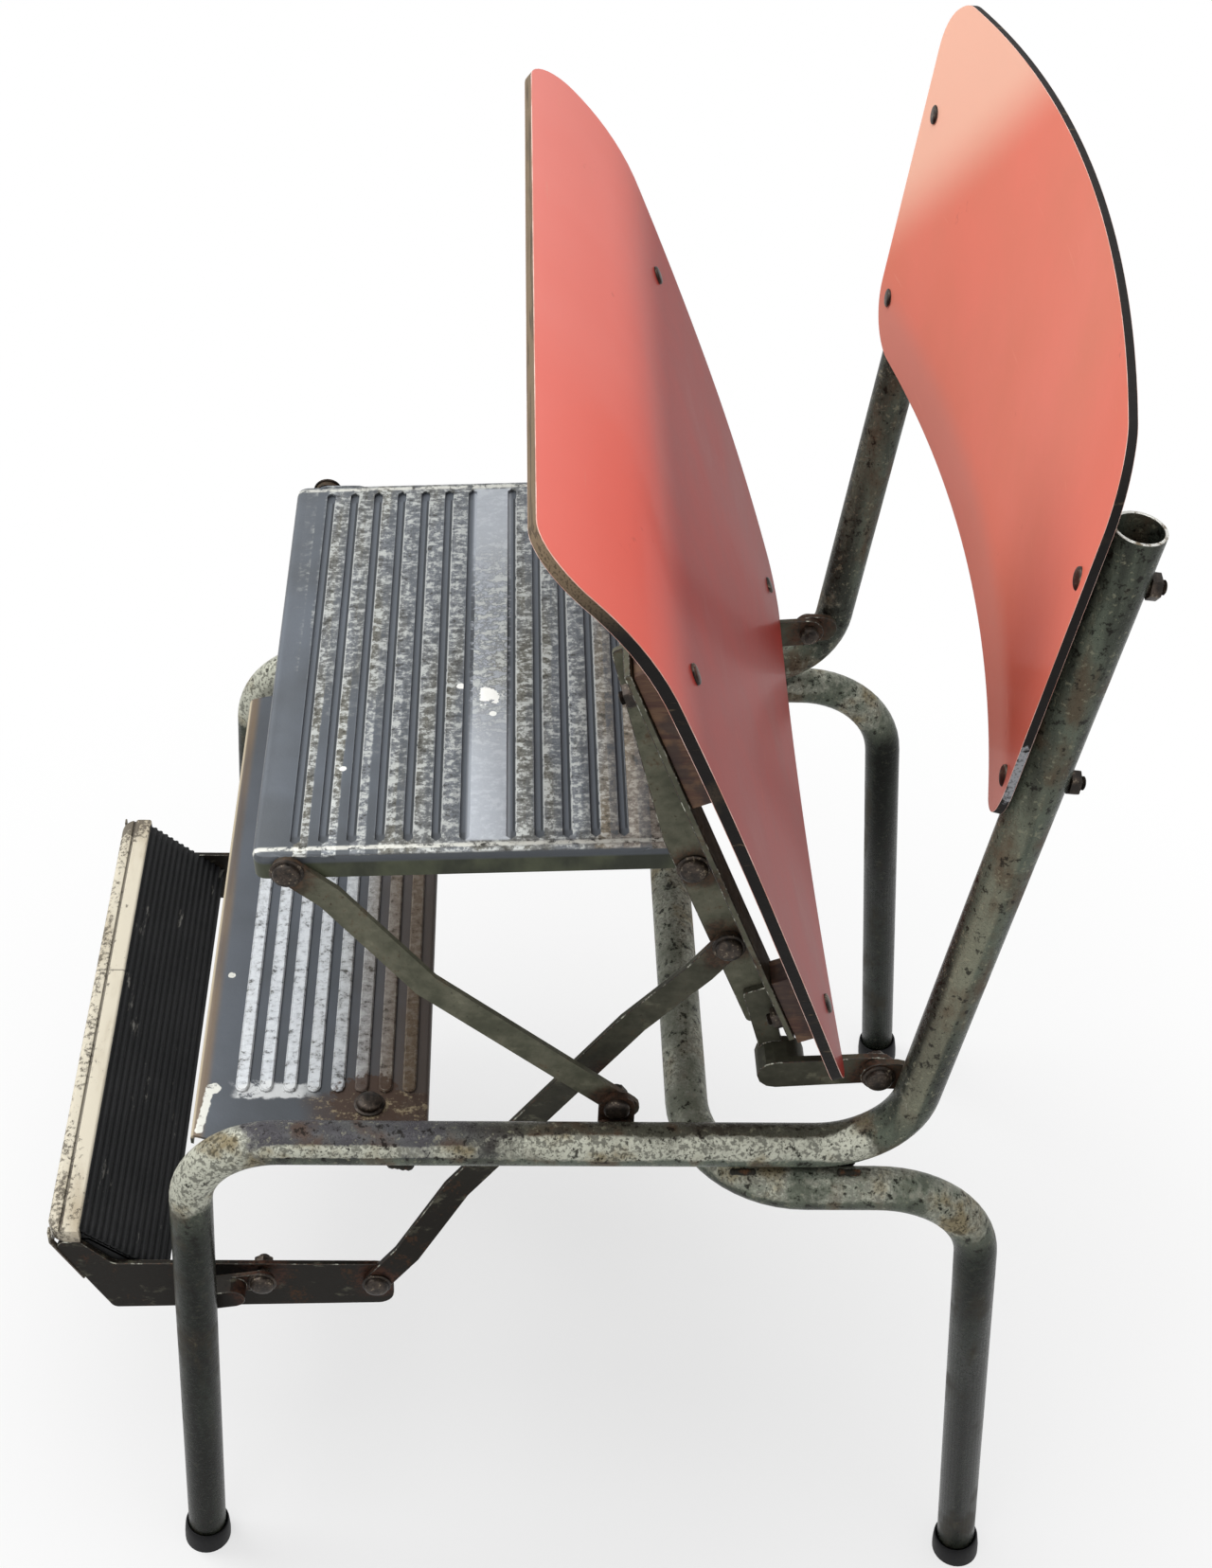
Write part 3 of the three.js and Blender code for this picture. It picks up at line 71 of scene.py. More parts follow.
# Courses of the tubes, in millimetres: the start, the bends with their radii, and the end
RAIL_OUT, RAIL_HIGH = 191, 366.9
REAR_OUT, REAR_HIGH = 200, 344.6
UPRIGHT_FOOT = (RAIL_OUT, 171.4, RAIL_HIGH)
UPRIGHT_TOP = (202.6, 213.4, 742.2)
UPRIGHT_RISE = UPRIGHT_TOP[2] - RAIL_HIGH
UPRIGHT_LEAN = (UPRIGHT_TOP[1] - UPRIGHT_FOOT[1]) / UPRIGHT_RISE
SIDE_TUBE_START = (RAIL_OUT, -198.7, 4.3)
SIDE_TUBE_BENDS = (((RAIL_OUT, -177.9, RAIL_HIGH), 47), (UPRIGHT_FOOT, 46))
REAR_LEG_START = (REAR_OUT, 252.1, 4.3)
REAR_LEG_BENDS = (((REAR_OUT, 214.6, REAR_HIGH), 58), ((REAR_OUT, 71.1, REAR_HIGH), 56))

# Y and Z of the linkage's pivots, in metres, as modelled
PIVOTS = (
    (0.0329, 0.3759), (-0.1234, 0.5152), (0.0624, 0.5237), (0.0819, 0.4762),
    (-0.0914, 0.2185), (-0.153, 0.2243), (0.1587, 0.4061),
)

# The seat in its own lengths, in millimetres, from the hinge along it and below it
HINGE = (158.7, 406.1)
SEAT_ANGLE = math.radians(113.5)
SEAT_ALONG = (math.cos(SEAT_ANGLE), math.sin(SEAT_ANGLE))
SEAT_BELOW = (-math.sin(SEAT_ANGLE), math.cos(SEAT_ANGLE))
OFF_SEAT = Vector((0, -SEAT_BELOW[0], -SEAT_BELOW[1]))
SEAT_REAR, SEAT_FRONT = 16, 373.5
SEAT_LENGTH = SEAT_FRONT - SEAT_REAR
SEAT_HALF, SEAT_CORNERS = 221.5, (25, 26)
SEAT_TAPERED, SEAT_TAPER = 165, 21
SEAT_FLAT = (270, 285)
SEAT_DROP, SEAT_CURL, SEAT_HOLLOW = 11.5, 25, 4

# The backrest, in millimetres
BACK_LOW, BACK_HIGH = 588.5, 777.5
BACK_HEIGHT = BACK_HIGH - BACK_LOW
BACK_HALF, BACK_FLARE, BACK_CORNERS = 210, 8, (31, 30)
BACK_BULGE, BACK_ARCH = 19.5, 12
BACK_OFF_AXIS, BACK_OFF_TUBE = 11.9, 3.8


def srgb(red, green, blue):
    """A colour as a maker reads it off a chart, 0 to 255, in the linear values that a shader takes."""
    parts = [part / 255 for part in (red, green, blue)]
    return tuple(p / 12.92 if p <= 0.04045 else ((p + 0.055) / 1.055) ** 2.4 for p in parts)


def colour(text, chart):
    return bpy.props.FloatVectorProperty(
        description=text, subtype="COLOR", size=3, min=0, max=1, default=srgb(*chart)
    )


def length(text, size):
    return bpy.props.FloatProperty(
        description=text, default=size, min=0, subtype="DISTANCE", unit="LENGTH", precision=5
    )


def count(text, number, least):
    return bpy.props.IntProperty(description=text, default=number, min=least)


class ChairSizes(bpy.types.PropertyGroup):
    """Sizes of the finished pieces."""

    tube_radius: length("Outside radius of the frame tube", 0.011)
    tube_wall: length("Wall of the frame tube", 0.0014)
    tube_sides: count("Faces round a tube", 32, 8)
    bend_steps: count("Steps in each bend of a tube", 14, 3)
    seat_thickness: length("Thickness of the seat's plywood", 0.0055)
    back_thickness: length("Thickness of the backrest's plywood", 0.0038)
    panel_rows: count("Rows of faces along a panel", 56, 8)
    panel_columns: count("Columns of faces across a panel", 40, 8)
    panel_edge: length("Rounding of the panels' edges", 0.0009)
    bar_edge: length("Rounding of flat bar and lugs", 0.00045)
    sheet_edge: length("Rounding of pressed sheet", 0.0003)
    soft_edge: length("Rounding of the nosing and the packing blocks", 0.0006)
    tread_ribs: count("Ribs of the rubber on the lower step", 14, 4)
    tread_rib: length("Height of the rubber ribs", 0.0011)
    tread_rubber: length("Thickness of the rubber tread", 0.003)
    bolt_sides: count("Faces round a bolt head", 28, 8)
    slot_width: length("Width of the slot in a screw head", 0.0014)
    weld_radius: length("Radius of the weld beads on the tubes", 0.0031)


class ChairColours(bpy.types.PropertyGroup):
    """Colours of the finishes."""

    enamel: colour("Grey-green enamel of the tubes", (98, 105, 92))
    enamel_dark: colour("Enamel where dirt has darkened it", (57, 60, 53))
    bare: colour("Pale pitted metal where the enamel is gone", (194, 195, 180))
    rust: colour("Rust round joints and in pits", (84, 58, 40))
    olive: colour("Olive paint of links and flanges", (106, 105, 90))
    plate_paint: colour("Grey-blue paint of the step plates", (96, 102, 110))
    plate_worn: colour("Silvery metal on the flats of the plates", (190, 193, 190))
    coral: colour("Coral laminate of the seat and the backrest", (246, 134, 120))
    coral_faded: colour("Laminate where light has bleached it", (214, 128, 104))
    ply: colour("Plies in the edges of the panels", (128, 110, 88))
    backing: colour("Brown backing sheet under the panels", (88, 56, 42))
    wood: colour("Packing blocks under the seat", (112, 82, 56))
    ivory: colour("Ivory paint of the lower step's nosing", (214, 206, 186))
    rubber: colour("Black rubber of the tread and the feet", (20, 21, 22))
    steel: colour("Browned steel of bolts and screws", (64, 54, 46))
    floor: colour("Floor of the studio", (242, 242, 242))


def sizes():
    return bpy.context.scene.chair_sizes


def colours():
    return bpy.context.scene.chair_colours


# Finishes


def signed(sign, swapped=False):
    """A method that puts its wire, and another wire or number, into one sum."""
    return lambda self, *other: self.tree.sum(sign, *((*other, self) if swapped else (self, *other)))


class Wire:
    """An output in a node tree, on which sums are written with Python's own signs."""

    def __init__(self, tree, socket):
        self.tree, self.socket = tree, socket

    __add__ = __radd__ = signed("ADD")
    __mul__ = __rmul__ = signed("MULTIPLY")
    __sub__ = signed("SUBTRACT")
    __rsub__ = signed("SUBTRACT", swapped=True)
    __abs__ = signed("ABSOLUTE")
    least = signed("MINIMUM")
    most = signed("MAXIMUM")
    fraction = signed("FRACT")

    def length(self):
        return self.tree.node("ShaderNodeVectorMath", {"operation": "LENGTH"}, {0: self}, "Value")

    def rise(self, low, high):
        """Nought below low, one above high, and a smooth step between."""
        inputs = {"Value": self, "From Min": low, "From Max": high}
        return self.tree.node("ShaderNodeMapRange", {"interpolation_type": "SMOOTHSTEP"}, inputs)

    def fall(self, low, high):
        return 1 - self.rise(low, high)

    def within(self, low, high, soft):
        """One between low and high, fading to nought over a soft edge outside them."""
        return self.rise(low - soft, low) * self.fall(high, high + soft)

    def parts(self):
        """X, Y and Z of a vector."""
        split = self.tree.node("ShaderNodeSeparateXYZ", {}, {0: self}).socket.node
        return [Wire(self.tree, socket) for socket in split.outputs]


class Tree:
    """A node tree in the making."""

    def __init__(self, tree):
        self.tree = tree

    def node(self, kind, settings, inputs, output=0):
        made = self.tree.nodes.new(kind)
        for label, value in settings.items():
            setattr(made, label, value)
        for label, value in inputs.items():
            if isinstance(value, Wire):
                self.tree.links.new(value.socket, made.inputs[label])
            else:
                made.inputs[label].default_value = value
        return Wire(self, made.outputs[output])

    def sum(self, sign, *terms):
        wide = any(isinstance(term, Wire) and term.socket.type == "VECTOR" for term in terms)
        kind = "ShaderNodeVectorMath" if wide else "ShaderNodeMath"
        return self.node(kind, {"operation": sign}, dict(enumerate(terms)))

    def surface(self, share, one, other, end):
        """Ends the tree in two shaders, with a share of the other."""
        mixed = self.node("ShaderNodeMixShader", {}, {0: share, 1: one, 2: other})
        self.tree.links.new(mixed.socket, self.tree.nodes[end].inputs["Surface"])

    def seen(self):
        """One for rays from the camera, a mirror or glass, and nought for light on the object."""
        rays = ("Is Camera Ray", "Is Glossy Ray", "Is Transmission Ray")
        camera, glossy, through = (self.node("ShaderNodeLightPath", {}, {}, ray) for ray in rays)
        return camera.most(glossy).most(through)


class Finish(Tree):
    """A material in the making: its tree, its shader and the coordinates of the piece."""

    def __init__(self, name, roughness=0.5, **uniform):
        self.material = bpy.data.materials.new(name)
        self.material.use_nodes = True
        super().__init__(self.material.node_tree)
        self.shader = self.tree.nodes["Principled BSDF"]
        for label, value in {"roughness": roughness, **uniform}.items():
            self.shader.inputs[label.replace("_", " ").title().replace("Ior", "IOR")].default_value = value
        self.place = self.node("ShaderNodeTexCoord", {}, {}, "Object")

    def mix(self, share, under, over):
        """Two colours, with a share of the one laid over. A plain tuple is read off the chart."""
        tints = [srgb(*tint) if isinstance(tint, tuple) else tint for tint in (under, over)]
        under, over = (tint if isinstance(tint, Wire) else (*tint, 1) for tint in tints)
        return self.node("ShaderNodeMix", {"data_type": "RGBA"}, {0: share, 6: under, 7: over}, 2)

    def coats(self, tint, *coats):
        """A colour under coats of others, each with its share."""
        for share, shade in coats:
            tint = self.mix(share, tint, shade)
        return tint

    def placed(self, at=None, centre=(0, 0, 0), turn=(0, 0, 0), stretch=(1, 1, 1)):
        """The piece's coordinates, centred and turned, in metres."""
        inputs = {"Vector": at or self.place, "Location": centre, "Rotation": turn, "Scale": stretch}
        return self.node("ShaderNodeMapping", {}, inputs)

    def noise(self, scale, detail=3, roughness=0.55, at=None, **placing):
        """Noise over the piece, turned or stretched where that is asked for."""
        at = self.placed(at, **placing) if placing else at or self.place
        inputs = {"Vector": at, "Scale": scale, "Detail": detail, "Roughness": roughness}
        return self.node("ShaderNodeTexNoise", {}, inputs)

    def spot(self, centre, radius, ragged=0.35):
        """One inside a ragged round patch."""
        away = (self.place - centre).length()
        edge = away + (self.noise(300) - 0.5) * (radius * ragged * 2)
        return edge.fall(radius * 0.85, radius)

    def line(self, start, end, radius):
        """One inside a ragged line between two places."""
        run = Vector(end) - Vector(start)
        offset = self.place - start
        inputs = {0: offset, 1: run / run.length_squared}
        share = self.node("ShaderNodeVectorMath", {"operation": "DOT_PRODUCT"}, inputs, "Value")
        inputs = {0: run, "Scale": share.most(0).least(1)}
        nearest = self.node("ShaderNodeVectorMath", {"operation": "SCALE"}, inputs)
        away = (offset - nearest).length()
        return (away + (self.noise(300) - 0.5) * radius).fall(radius * 0.7, radius)

    def bump(self, height, depth, strength):
        inputs = {"Strength": strength, "Distance": depth, "Height": height}
        return self.node("ShaderNodeBump", {}, inputs, "Normal")

    def done(self, tint, **inputs):
        for label, value in {"base_color": tint, **inputs}.items():
            self.tree.links.new(value.socket, self.shader.inputs[label.replace("_", " ").title()])
        return self.material


def finish(roughness=0.5, **uniform):
    """Starts a finish for its maker and keeps it by its name, so that pieces share it."""

    def wrap(maker):
        name = maker.__name__
        return lambda: bpy.data.materials.get(name) or maker(Finish(name, roughness, **uniform), colours())

    return wrap


@finish(specular_ior_level=0.08)
def tube_enamel(f, c):
    across, fore, high = f.place.parts()
    cloud = f.noise(38, 5)
    streak = f.noise(55, 5, stretch=(1, 1, 0.14))
    grain = f.noise(520, 4)
    fleck = f.noise(210, 5, 0.75)
    out = abs(across) - RAIL_OUT * MM
    climb = high - RAIL_HIGH * MM
    rail = abs(climb).fall(0.013, 0.02) * fore.within(-0.15, 0.15, 0.02) * abs(out).fall(0.0115, 0.0125)
    # Rubbed through on the front bends, along the rails up and out, and on the rear bends
    rear = fore.rise(-0.07, 0.01)
    flank = (out * 0.9 + climb * 0.43).rise(0.0098, 0.0108) * 0.27 * (1 - rear)
    shoulder = (out * 0.8 + climb * 0.6).rise(0.0072, 0.0104) * 0.3 * rear
    fronts = fore.fall(-0.172, -0.12) * high.within(0.336, 0.39, 0.026)
    rears = (out + 0.006).rise(0, 0.004) * fore.within(0.19, 0.235, 0.015)
    rears = rears * high.within(0.322, 0.36, 0.02)
    runs = abs(high - REAR_HIGH * MM).fall(0.011, 0.014) * fore.within(0.06, 0.18, 0.02)
    runs = runs * high.rise(0.342, 0.348)
    bends = fore.within(0.15, 0.205, 0.02) * high.within(0.35, 0.42, 0.03)
    zone = (fronts * 0.34).most(rail * flank.most(shoulder))
    zone = zone.most(bends * 0.1).most(rears * 0.17).most(runs * 0.19)
    bare = (zone + cloud * 0.5 + fleck * 0.42).rise(0.58, 0.74)
    chips = (fleck * 0.7 + grain * 0.3).rise(0.55, 0.62)
    rusty = (cloud * 0.45 + streak * 0.55 + zone * 0.15).rise(0.51, 0.62)
    pits = (grain * 0.4 + fleck * 0.6).rise(0.5, 0.56)
    lower = high.fall(0.29, 0.345)
    cross = (out + 0.02).fall(0, 0.01) * fore.within(0.05, 0.09, 0.01)
    # The uprights: a pale painted highlight, partly wear, along one side, and painted shade behind
    upright = high.rise(0.385, 0.41)
    lean = fore - UPRIGHT_FOOT[1] * MM - climb * UPRIGHT_LEAN
    lit = lean.within(-0.0075, -0.0015, 0.0025) * (out - climb * 0.031).rise(0, 0.006)
    lit = lit * high.fall(0.5, 0.66)
    under = rail * rear * (out * 0.9 - climb * 0.43).rise(0.005, 0.0085)
    # Bluish grey over the top of the rails' front half: a painted reflection of the sky
    top = rail * (1 - rear) * (climb - out * 0.5).rise(-0.0062, -0.002)
    tint = f.coats(
        c.enamel_dark,
        (streak.rise(0.38, 0.6), c.enamel),
        (lower * 0.93, f.mix(streak.rise(0.4, 0.66), (12, 14, 10), (28, 33, 28))),
        # Paler on the rear bends and along the top of the rear run: wear, with a painted highlight on the
        # run
        (rears.most(runs) * 0.6, (112, 118, 104)),
        (cross * 0.5, (146, 148, 132)),
        (upright * lit * (0.1 + streak * 0.6), (160, 156, 134)),
        (upright * lean.rise(0.003, 0.008) * 0.5, (42, 47, 43)),
        (under * 0.55, (112, 120, 108)),
        (top * 0.7, (86, 83, 90)),
        (rail * rear * (1 - under) * 0.6, (70, 61, 52)),
        (rusty * (0.6 - lower * 0.45), c.rust),
        (chips * (0.5 - lower * 0.43), (150, 148, 126)),
        (bare * 0.9, f.mix(cloud.rise(0.52, 0.68), c.bare, (140, 130, 104))),
        (fleck.fall(0.38, 0.44).most(pits * bare * 0.75) * 0.85, (24, 20, 17)),
    )
    ground = fleck * 0.35 - bare * 0.5 - pits * (0.9 - lower * 0.6)
    return f.done(
        tint,
        roughness=0.2 + grain * 0.14 + rusty * 0.22 + bare * 0.16,
        metallic=0.08 + bare * 0.3,
        normal=f.bump(ground, 0.0003, 0.7),
    )


def bar_paint(f, c, dark, darker_low):
    """Olive paint of flat bar, stained with rust round the pivots."""
    cloud = f.noise(62, 6, 0.65)
    grain = f.noise(430, 4, 0.65)
    drag = f.noise(110, 5, 0.65, stretch=(1, 0.45, 0.8))
    low = f.place.parts()[2].fall(0.26, 0.47)
    dirt = (cloud * 0.6 + drag * 0.4).rise(0.36, 0.62)
    rust = (cloud * 0.65 + grain * 0.35).rise(0.55, 0.66)
    fore_high = f.placed(stretch=(0, 1, 1))
    stain = 0
    for pivot in PIVOTS:
        away = (fore_high - (0, *pivot)).length()
        stain = (away + (cloud - 0.5) * 0.02).fall(0.01, 0.018).most(stain)
    pits = grain.rise(0.62, 0.72)
    tint = f.coats(
        (76, 77, 64),
        (dirt, c.olive),
        (low * darker_low + dark, (32, 29, 25)),
        (drag.rise(0.56, 0.7) * 0.34, (140, 138, 118)),
        (rust * 0.6, c.rust),
        (stain * 0.7, f.mix(grain.rise(0.4, 0.6), (44, 28, 23), (78, 50, 38))),
        (pits * 0.5, (30, 26, 22)),
    )
    return f.done(
        tint,
        roughness=0.38 + grain * 0.2 + rust * 0.15,
        metallic=0.2 - rust * 0.15,
        normal=f.bump(grain * 0.6 + drag * 0.4 - pits, 0.0002, 0.55),
    )


@finish(specular_ior_level=0.1)
def linkage_paint(f, c):
    return bar_paint(f, c, 0, 0)


@finish(specular_ior_level=0.1)
def dark_linkage_paint(f, c):
    return bar_paint(f, c, 0.4, 0.6)


@finish()
def rubbed_edge(f, c):
    """Corners of bar and sheet, where hands and shoes have rubbed the paint off."""
    patch = f.noise(120, 5, 0.7)
    grain = f.noise(600)
    tint = f.coats((44, 40, 34), (patch.rise(0.5, 0.66), c.bare), (grain.rise(0.5, 0.66) * 0.7, c.rust))
    return f.done(tint, roughness=0.3 + grain * 0.3, metallic=0.3 + patch * 0.3)


def plate_paint(f, c, height, tilt, shift, grounds):
    """Grey-blue paint, worn to speckled metal on the flats and left in the grooves."""
    laid = f.placed(centre=(0, shift, -height), turn=(tilt, 0, 0))
    across, fore, high = laid.parts()
    flat = high.rise(-0.0012, -0.0004)
    side = high.fall(-0.0052, -0.0034)
    fleck = f.noise(330, 5, 0.78, laid)
    smear = f.noise(24, 4, at=laid, stretch=(0.3, 1.5, 1))
    cloud = f.noise(9, 4, at=laid)
    speckle = f.noise(130, 5, 0.72, laid, stretch=(1.5, 0.75, 1)) * 0.55 + fleck * 0.45
    worn, brown, strips = grounds(f, across, fore, high, cloud, smear, speckle)
    metal = f.coats(
        (112, 116, 121),
        (smear.rise(0.4, 0.62), (104, 103, 96)),
        (speckle.rise(0.49, 0.56) * 0.85, c.plate_worn),
        (brown * 0.6, (128, 108, 82)),
        (speckle.fall(0.42, 0.46) * 0.8, (58, 57, 52)),
    )
    tint = f.coats(
        c.plate_paint,
        (cloud.rise(0.34, 0.66), (78, 82, 86)),
        ((1 - flat) * (1 - side) * 0.35, (70, 73, 78)),
        (worn * flat, metal),
        *strips,
        (side, f.mix(smear.rise(0.38, 0.64), (48, 51, 41), (76, 80, 62))),
    )
    return f.done(
        tint,
        roughness=0.3 + fleck * 0.3 + worn * 0.06,
        metallic=0.3 + worn * flat * 0.35,
        normal=f.bump(speckle * 1.2 - worn * flat * 0.5, 0.0003, 0.6),
    )


@finish(specular_ior_level=0.3)
def upper_plate_paint(f, c):
    def grounds(f, across, fore, high, cloud, smear, speckle):
        out = abs(across)
        band = fore.within(-0.0405, -0.0225, 0.002)
        front = fore.fall(-0.13, -0.121)
        corner = fore.fall(-0.12, -0.05) * across.rise(-0.02, 0.12)
        # The grooves' pitch is 13 mm, and the band shifts those behind it
        lap = (fore * (1 / 0.013) + 3.29 - fore.rise(-0.034, -0.033) * 0.654).fraction()
        kept = lap.rise(0.42, 0.6) * (cloud + smear * 0.6).rise(0.4, 0.78) * (1 - band)
        grooved = out.fall(0.1345, 0.137) * fore.within(-0.1232, 0.033, 0.0004) * (1 - band)
        sunk = (lap.rise(0.81, 0.84) + lap.fall(0.07, 0.1)).least(1)
        # A dark line on each groove's wall is painted shade, and a bright line along each groove's edge is a
        # painted highlight
        wall = lap.within(0.1, 0.165, 0.02)
        crest = lap.within(0.19, 0.235, 0.015) * speckle.rise(0.4, 0.5)
        lost = corner * 0.38 + front * 0.62 + kept * 0.5
        worn = (0.84 + cloud * 0.4 + smear * 0.3 + speckle * 0.5 - lost).rise(0.78, 1.06)
        brown = (fore.rise(-0.01, 0.05) * 0.6 + smear * 0.5 + corner * 0.16).rise(0.4, 0.76)
        middle = abs(across + 0.01).fall(0.02, 0.1)
        pale = band * (1 - speckle.rise(0.44, 0.5) * middle) * out.fall(0.1425, 0.144)
        near = out.within(0.1452, 0.1466, 0.0012) * speckle.rise(0.42, 0.5)
        drips = f.spot((0.0382, -0.0326, 0.526), 0.0058, 1.3)
        for spot, radius in (
            ((0.052, -0.03, 0.5262), 0.002),
            ((0.0905, -0.101, 0.5227), 0.0018),
            ((0.03, -0.046, 0.5255), 0.0024),
        ):
            drips = drips.most(f.spot(spot, radius))
        strips = (
            (sunk * grooved * 0.5, (104, 110, 118)),
            # Painted shade on the groove walls, then painted highlights on the groove edges
            (wall * grooved * 0.8, (44, 47, 50)),
            (crest * grooved * 0.6, (208, 210, 208)),
            (pale * 0.8, (176, 181, 188)),
            (near * 0.85, (214, 214, 206)),
            (drips, (238, 238, 234)),
        )
        return worn, brown * 0.8, strips

    return plate_paint(f, c, 0.5268, math.radians(-2.62), -0.024, grounds)


@finish(specular_ior_level=0.3)
def fixed_plate_paint(f, c):
    def grounds(f, across, fore, high, cloud, smear, speckle):
        rear = fore.rise(-0.125, -0.07)
        worn = (1.1 + speckle * 0.5 - cloud * 0.2).rise(0.9, 1.1)
        brown = (rear * 0.75 + smear * 0.25).rise(0.2, 0.8)
        white = (1 - rear) * speckle.rise(0.36, 0.5) * abs(high + 0.0004).fall(0.0004, 0.001)
        ragged = (f.noise(90, 4) - 0.5) * 0.012
        out, along = abs(across + ragged), fore + ragged
        ends = out.within(0.1405, 0.1475, 0.002) * along.fall(-0.13, -0.115)
        ends = ends * along.rise(-0.163, -0.158) * speckle.rise(0.4, 0.48)
        halo = f.spot((0.153, -0.0914, 0.351), 0.021, 0.5)
        halo = halo.most(f.spot((-0.153, -0.0914, 0.351), 0.021, 0.5))
        dirt = out.rise(0.138, 0.15) * along.rise(-0.155, -0.1) * (cloud * 0.5 + smear * 0.5)
        dirt = dirt.rise(0.24, 0.5)
        aged = along.rise(-0.118, -0.066) * (0.3 + smear * 0.6)
        drips = f.line((0.146, -0.1735, 0.351), (0.17, -0.1762, 0.351), 0.0024)
        for spot, radius in (((0.1427, -0.1717, 0.351), 0.004), ((0.0621, -0.1695, 0.351), 0.0022)):
            drips = drips.most(f.spot(spot, radius))
        strips = (
            (white * 0.8, (214, 218, 222)),
            (aged, (84, 68, 54)),
            (ends * 0.85, (214, 216, 216)),
            ((halo * 0.85).most(dirt * 0.6), (72, 54, 42)),
            (dirt * speckle.rise(0.52, 0.6) * 0.7, (166, 152, 122)),
            (fore.fall(-0.1765, -0.172) * 0.6, f.mix(smear.rise(0.4, 0.6), (128, 106, 78), (96, 80, 64))),
            (fore.fall(-0.1796, -0.1782) * 0.8, (206, 192, 164)),
            (drips * speckle.rise(0.36, 0.44), (214, 214, 206)),
        )
        return worn, brown, strips

    return plate_paint(f, c, 0.3526, 0, 0, grounds)


@finish(specular_ior_level=0.02, coat_roughness=0.1)
def coral_laminate(f, c):
    across, fore, high = f.place.parts()
    broad = f.noise(4.5)
    cloud = f.noise(16, 4)
    scratch = f.noise(55, 5, 0.75, turn=(0.3, 0.2, 0.5), stretch=(0.2, 1.5, 5))
    fine = f.noise(700)
    mark = f.noise(34, 5, 0.7)
    seat = (fore + high * 0.435).fall(0.37, 0.43)
    back = 1 - seat
    shaded = back * across.rise(0.02, 0.18) * high.fall(0.62, 0.74)
    # The flat rear of the seat in a deeper, darker red: painted shade and a painted reflection of dark
    # surroundings
    seat_shade_and_reflection = seat * (high - fore * 0.2).fall(0.62, 0.7)
    tint = f.coats(
        c.coral,
        (broad.rise(0.36, 0.66) * 0.7, (242, 116, 98)),
        (seat * across.rise(0, 0.16) * 0.4, (246, 92, 74)),
        # Pale pink on the seat's raised, curled front: painted light
        (seat * high.rise(0.6, 0.84) * (0.5 - across), (246, 176, 170)),
        (back * (0.45 + cloud * 0.6), c.coral_faded),
        (back * across.rise(0.08, 0.2) * 0.5, (222, 102, 82)),
        # Pale at the backrest's far upper corner: a painted reflection
        (back * (high - across).rise(0.835, 0.9) * 0.85, (242, 198, 174)),
        (shaded * 0.8, (136, 58, 44)),
        # Paler along the backrest's bottom edge: a painted reflection
        (back * high.fall(0.606, 0.628) * 0.5, (196, 140, 128)),
        (seat_shade_and_reflection * 0.86, f.mix(cloud.rise(0.4, 0.62), (126, 30, 27), (138, 42, 39))),
        (scratch.rise(0.62, 0.74) * 0.22, (236, 176, 156)),
        (mark.rise(0.66, 0.74) * 0.35, (140, 70, 58)),
    )
    return f.done(
        tint,
        roughness=0.3 + cloud * 0.14 + fine * 0.05 + scratch.rise(0.6, 0.72) * 0.12,
        coat_weight=0.03 + broad * 0.05,
        normal=f.bump(cloud * 0.6 + scratch * 0.25 + fine * 0.05, 0.0004, 0.25),
    )


@finish(specular_ior_level=0.15)
def ply_edge(f, c):
    _, fore, high = f.place.parts()
    grain = f.noise(300, 4, stretch=(1, 0.2, 1))
    patch = f.noise(26, 4)
    ply = f.noise(900, 2, stretch=(0.02, 1, 1))
    front = high.rise(0.7, 0.728) * fore.fall(0.05, 0.08)
    tint = f.coats(
        (20, 17, 16),
        ((front * 0.8).most(patch.rise(0.58, 0.75) * 0.3), c.ply),
        (f.spot((0.214, 0.196, 0.625), 0.02, 0.5) * 0.7, (176, 178, 182)),
        (ply.rise(0.52, 0.6) * 0.5, (24, 20, 18)),
        (grain.rise(0.64, 0.76) * 0.35, (150, 130, 104)),
    )
    return f.done(tint, roughness=0.5 + grain * 0.25, normal=f.bump(grain + ply, 0.0002, 0.6))


@finish(0.45)
def laminate_rim_highlight(f, c):
    """The pale line where the laminate's edge is eased: a painted highlight along the edge."""
    patch = f.noise(60, 4)
    tint = f.mix(patch.rise(0.35, 0.7), (242, 206, 194), (210, 146, 128))
    return f.done(tint, roughness=0.35 + patch * 0.2)


@finish()
def backing_sheet(f, c):
    grain = f.noise(120, 6, 0.65, stretch=(0.12, 1, 1))
    cloud = f.noise(8, 4)
    dark, pale = grain.rise(0.4, 0.65), cloud.rise(0.5, 0.72) * 0.5
    tint = f.coats(c.backing, (dark, (58, 38, 30)), (pale, (124, 86, 62)))
    return f.done(tint, roughness=0.5 + grain * 0.2, normal=f.bump(grain, 0.0003, 0.5))


@finish()
def packing_wood(f, c):
    grain = f.noise(160, 6, 0.7, turn=(SEAT_ANGLE, 0, 0), stretch=(1, 0.12, 1))
    cloud = f.noise(60, 4)
    dark, stained = grain.rise(0.38, 0.64), cloud.rise(0.44, 0.6) * 0.8
    tint = f.coats(c.wood, (dark, (66, 34, 26)), (stained, (44, 27, 22)))
    return f.done(tint, roughness=0.5 + grain * 0.3, normal=f.bump(grain, 0.0004, 0.6))


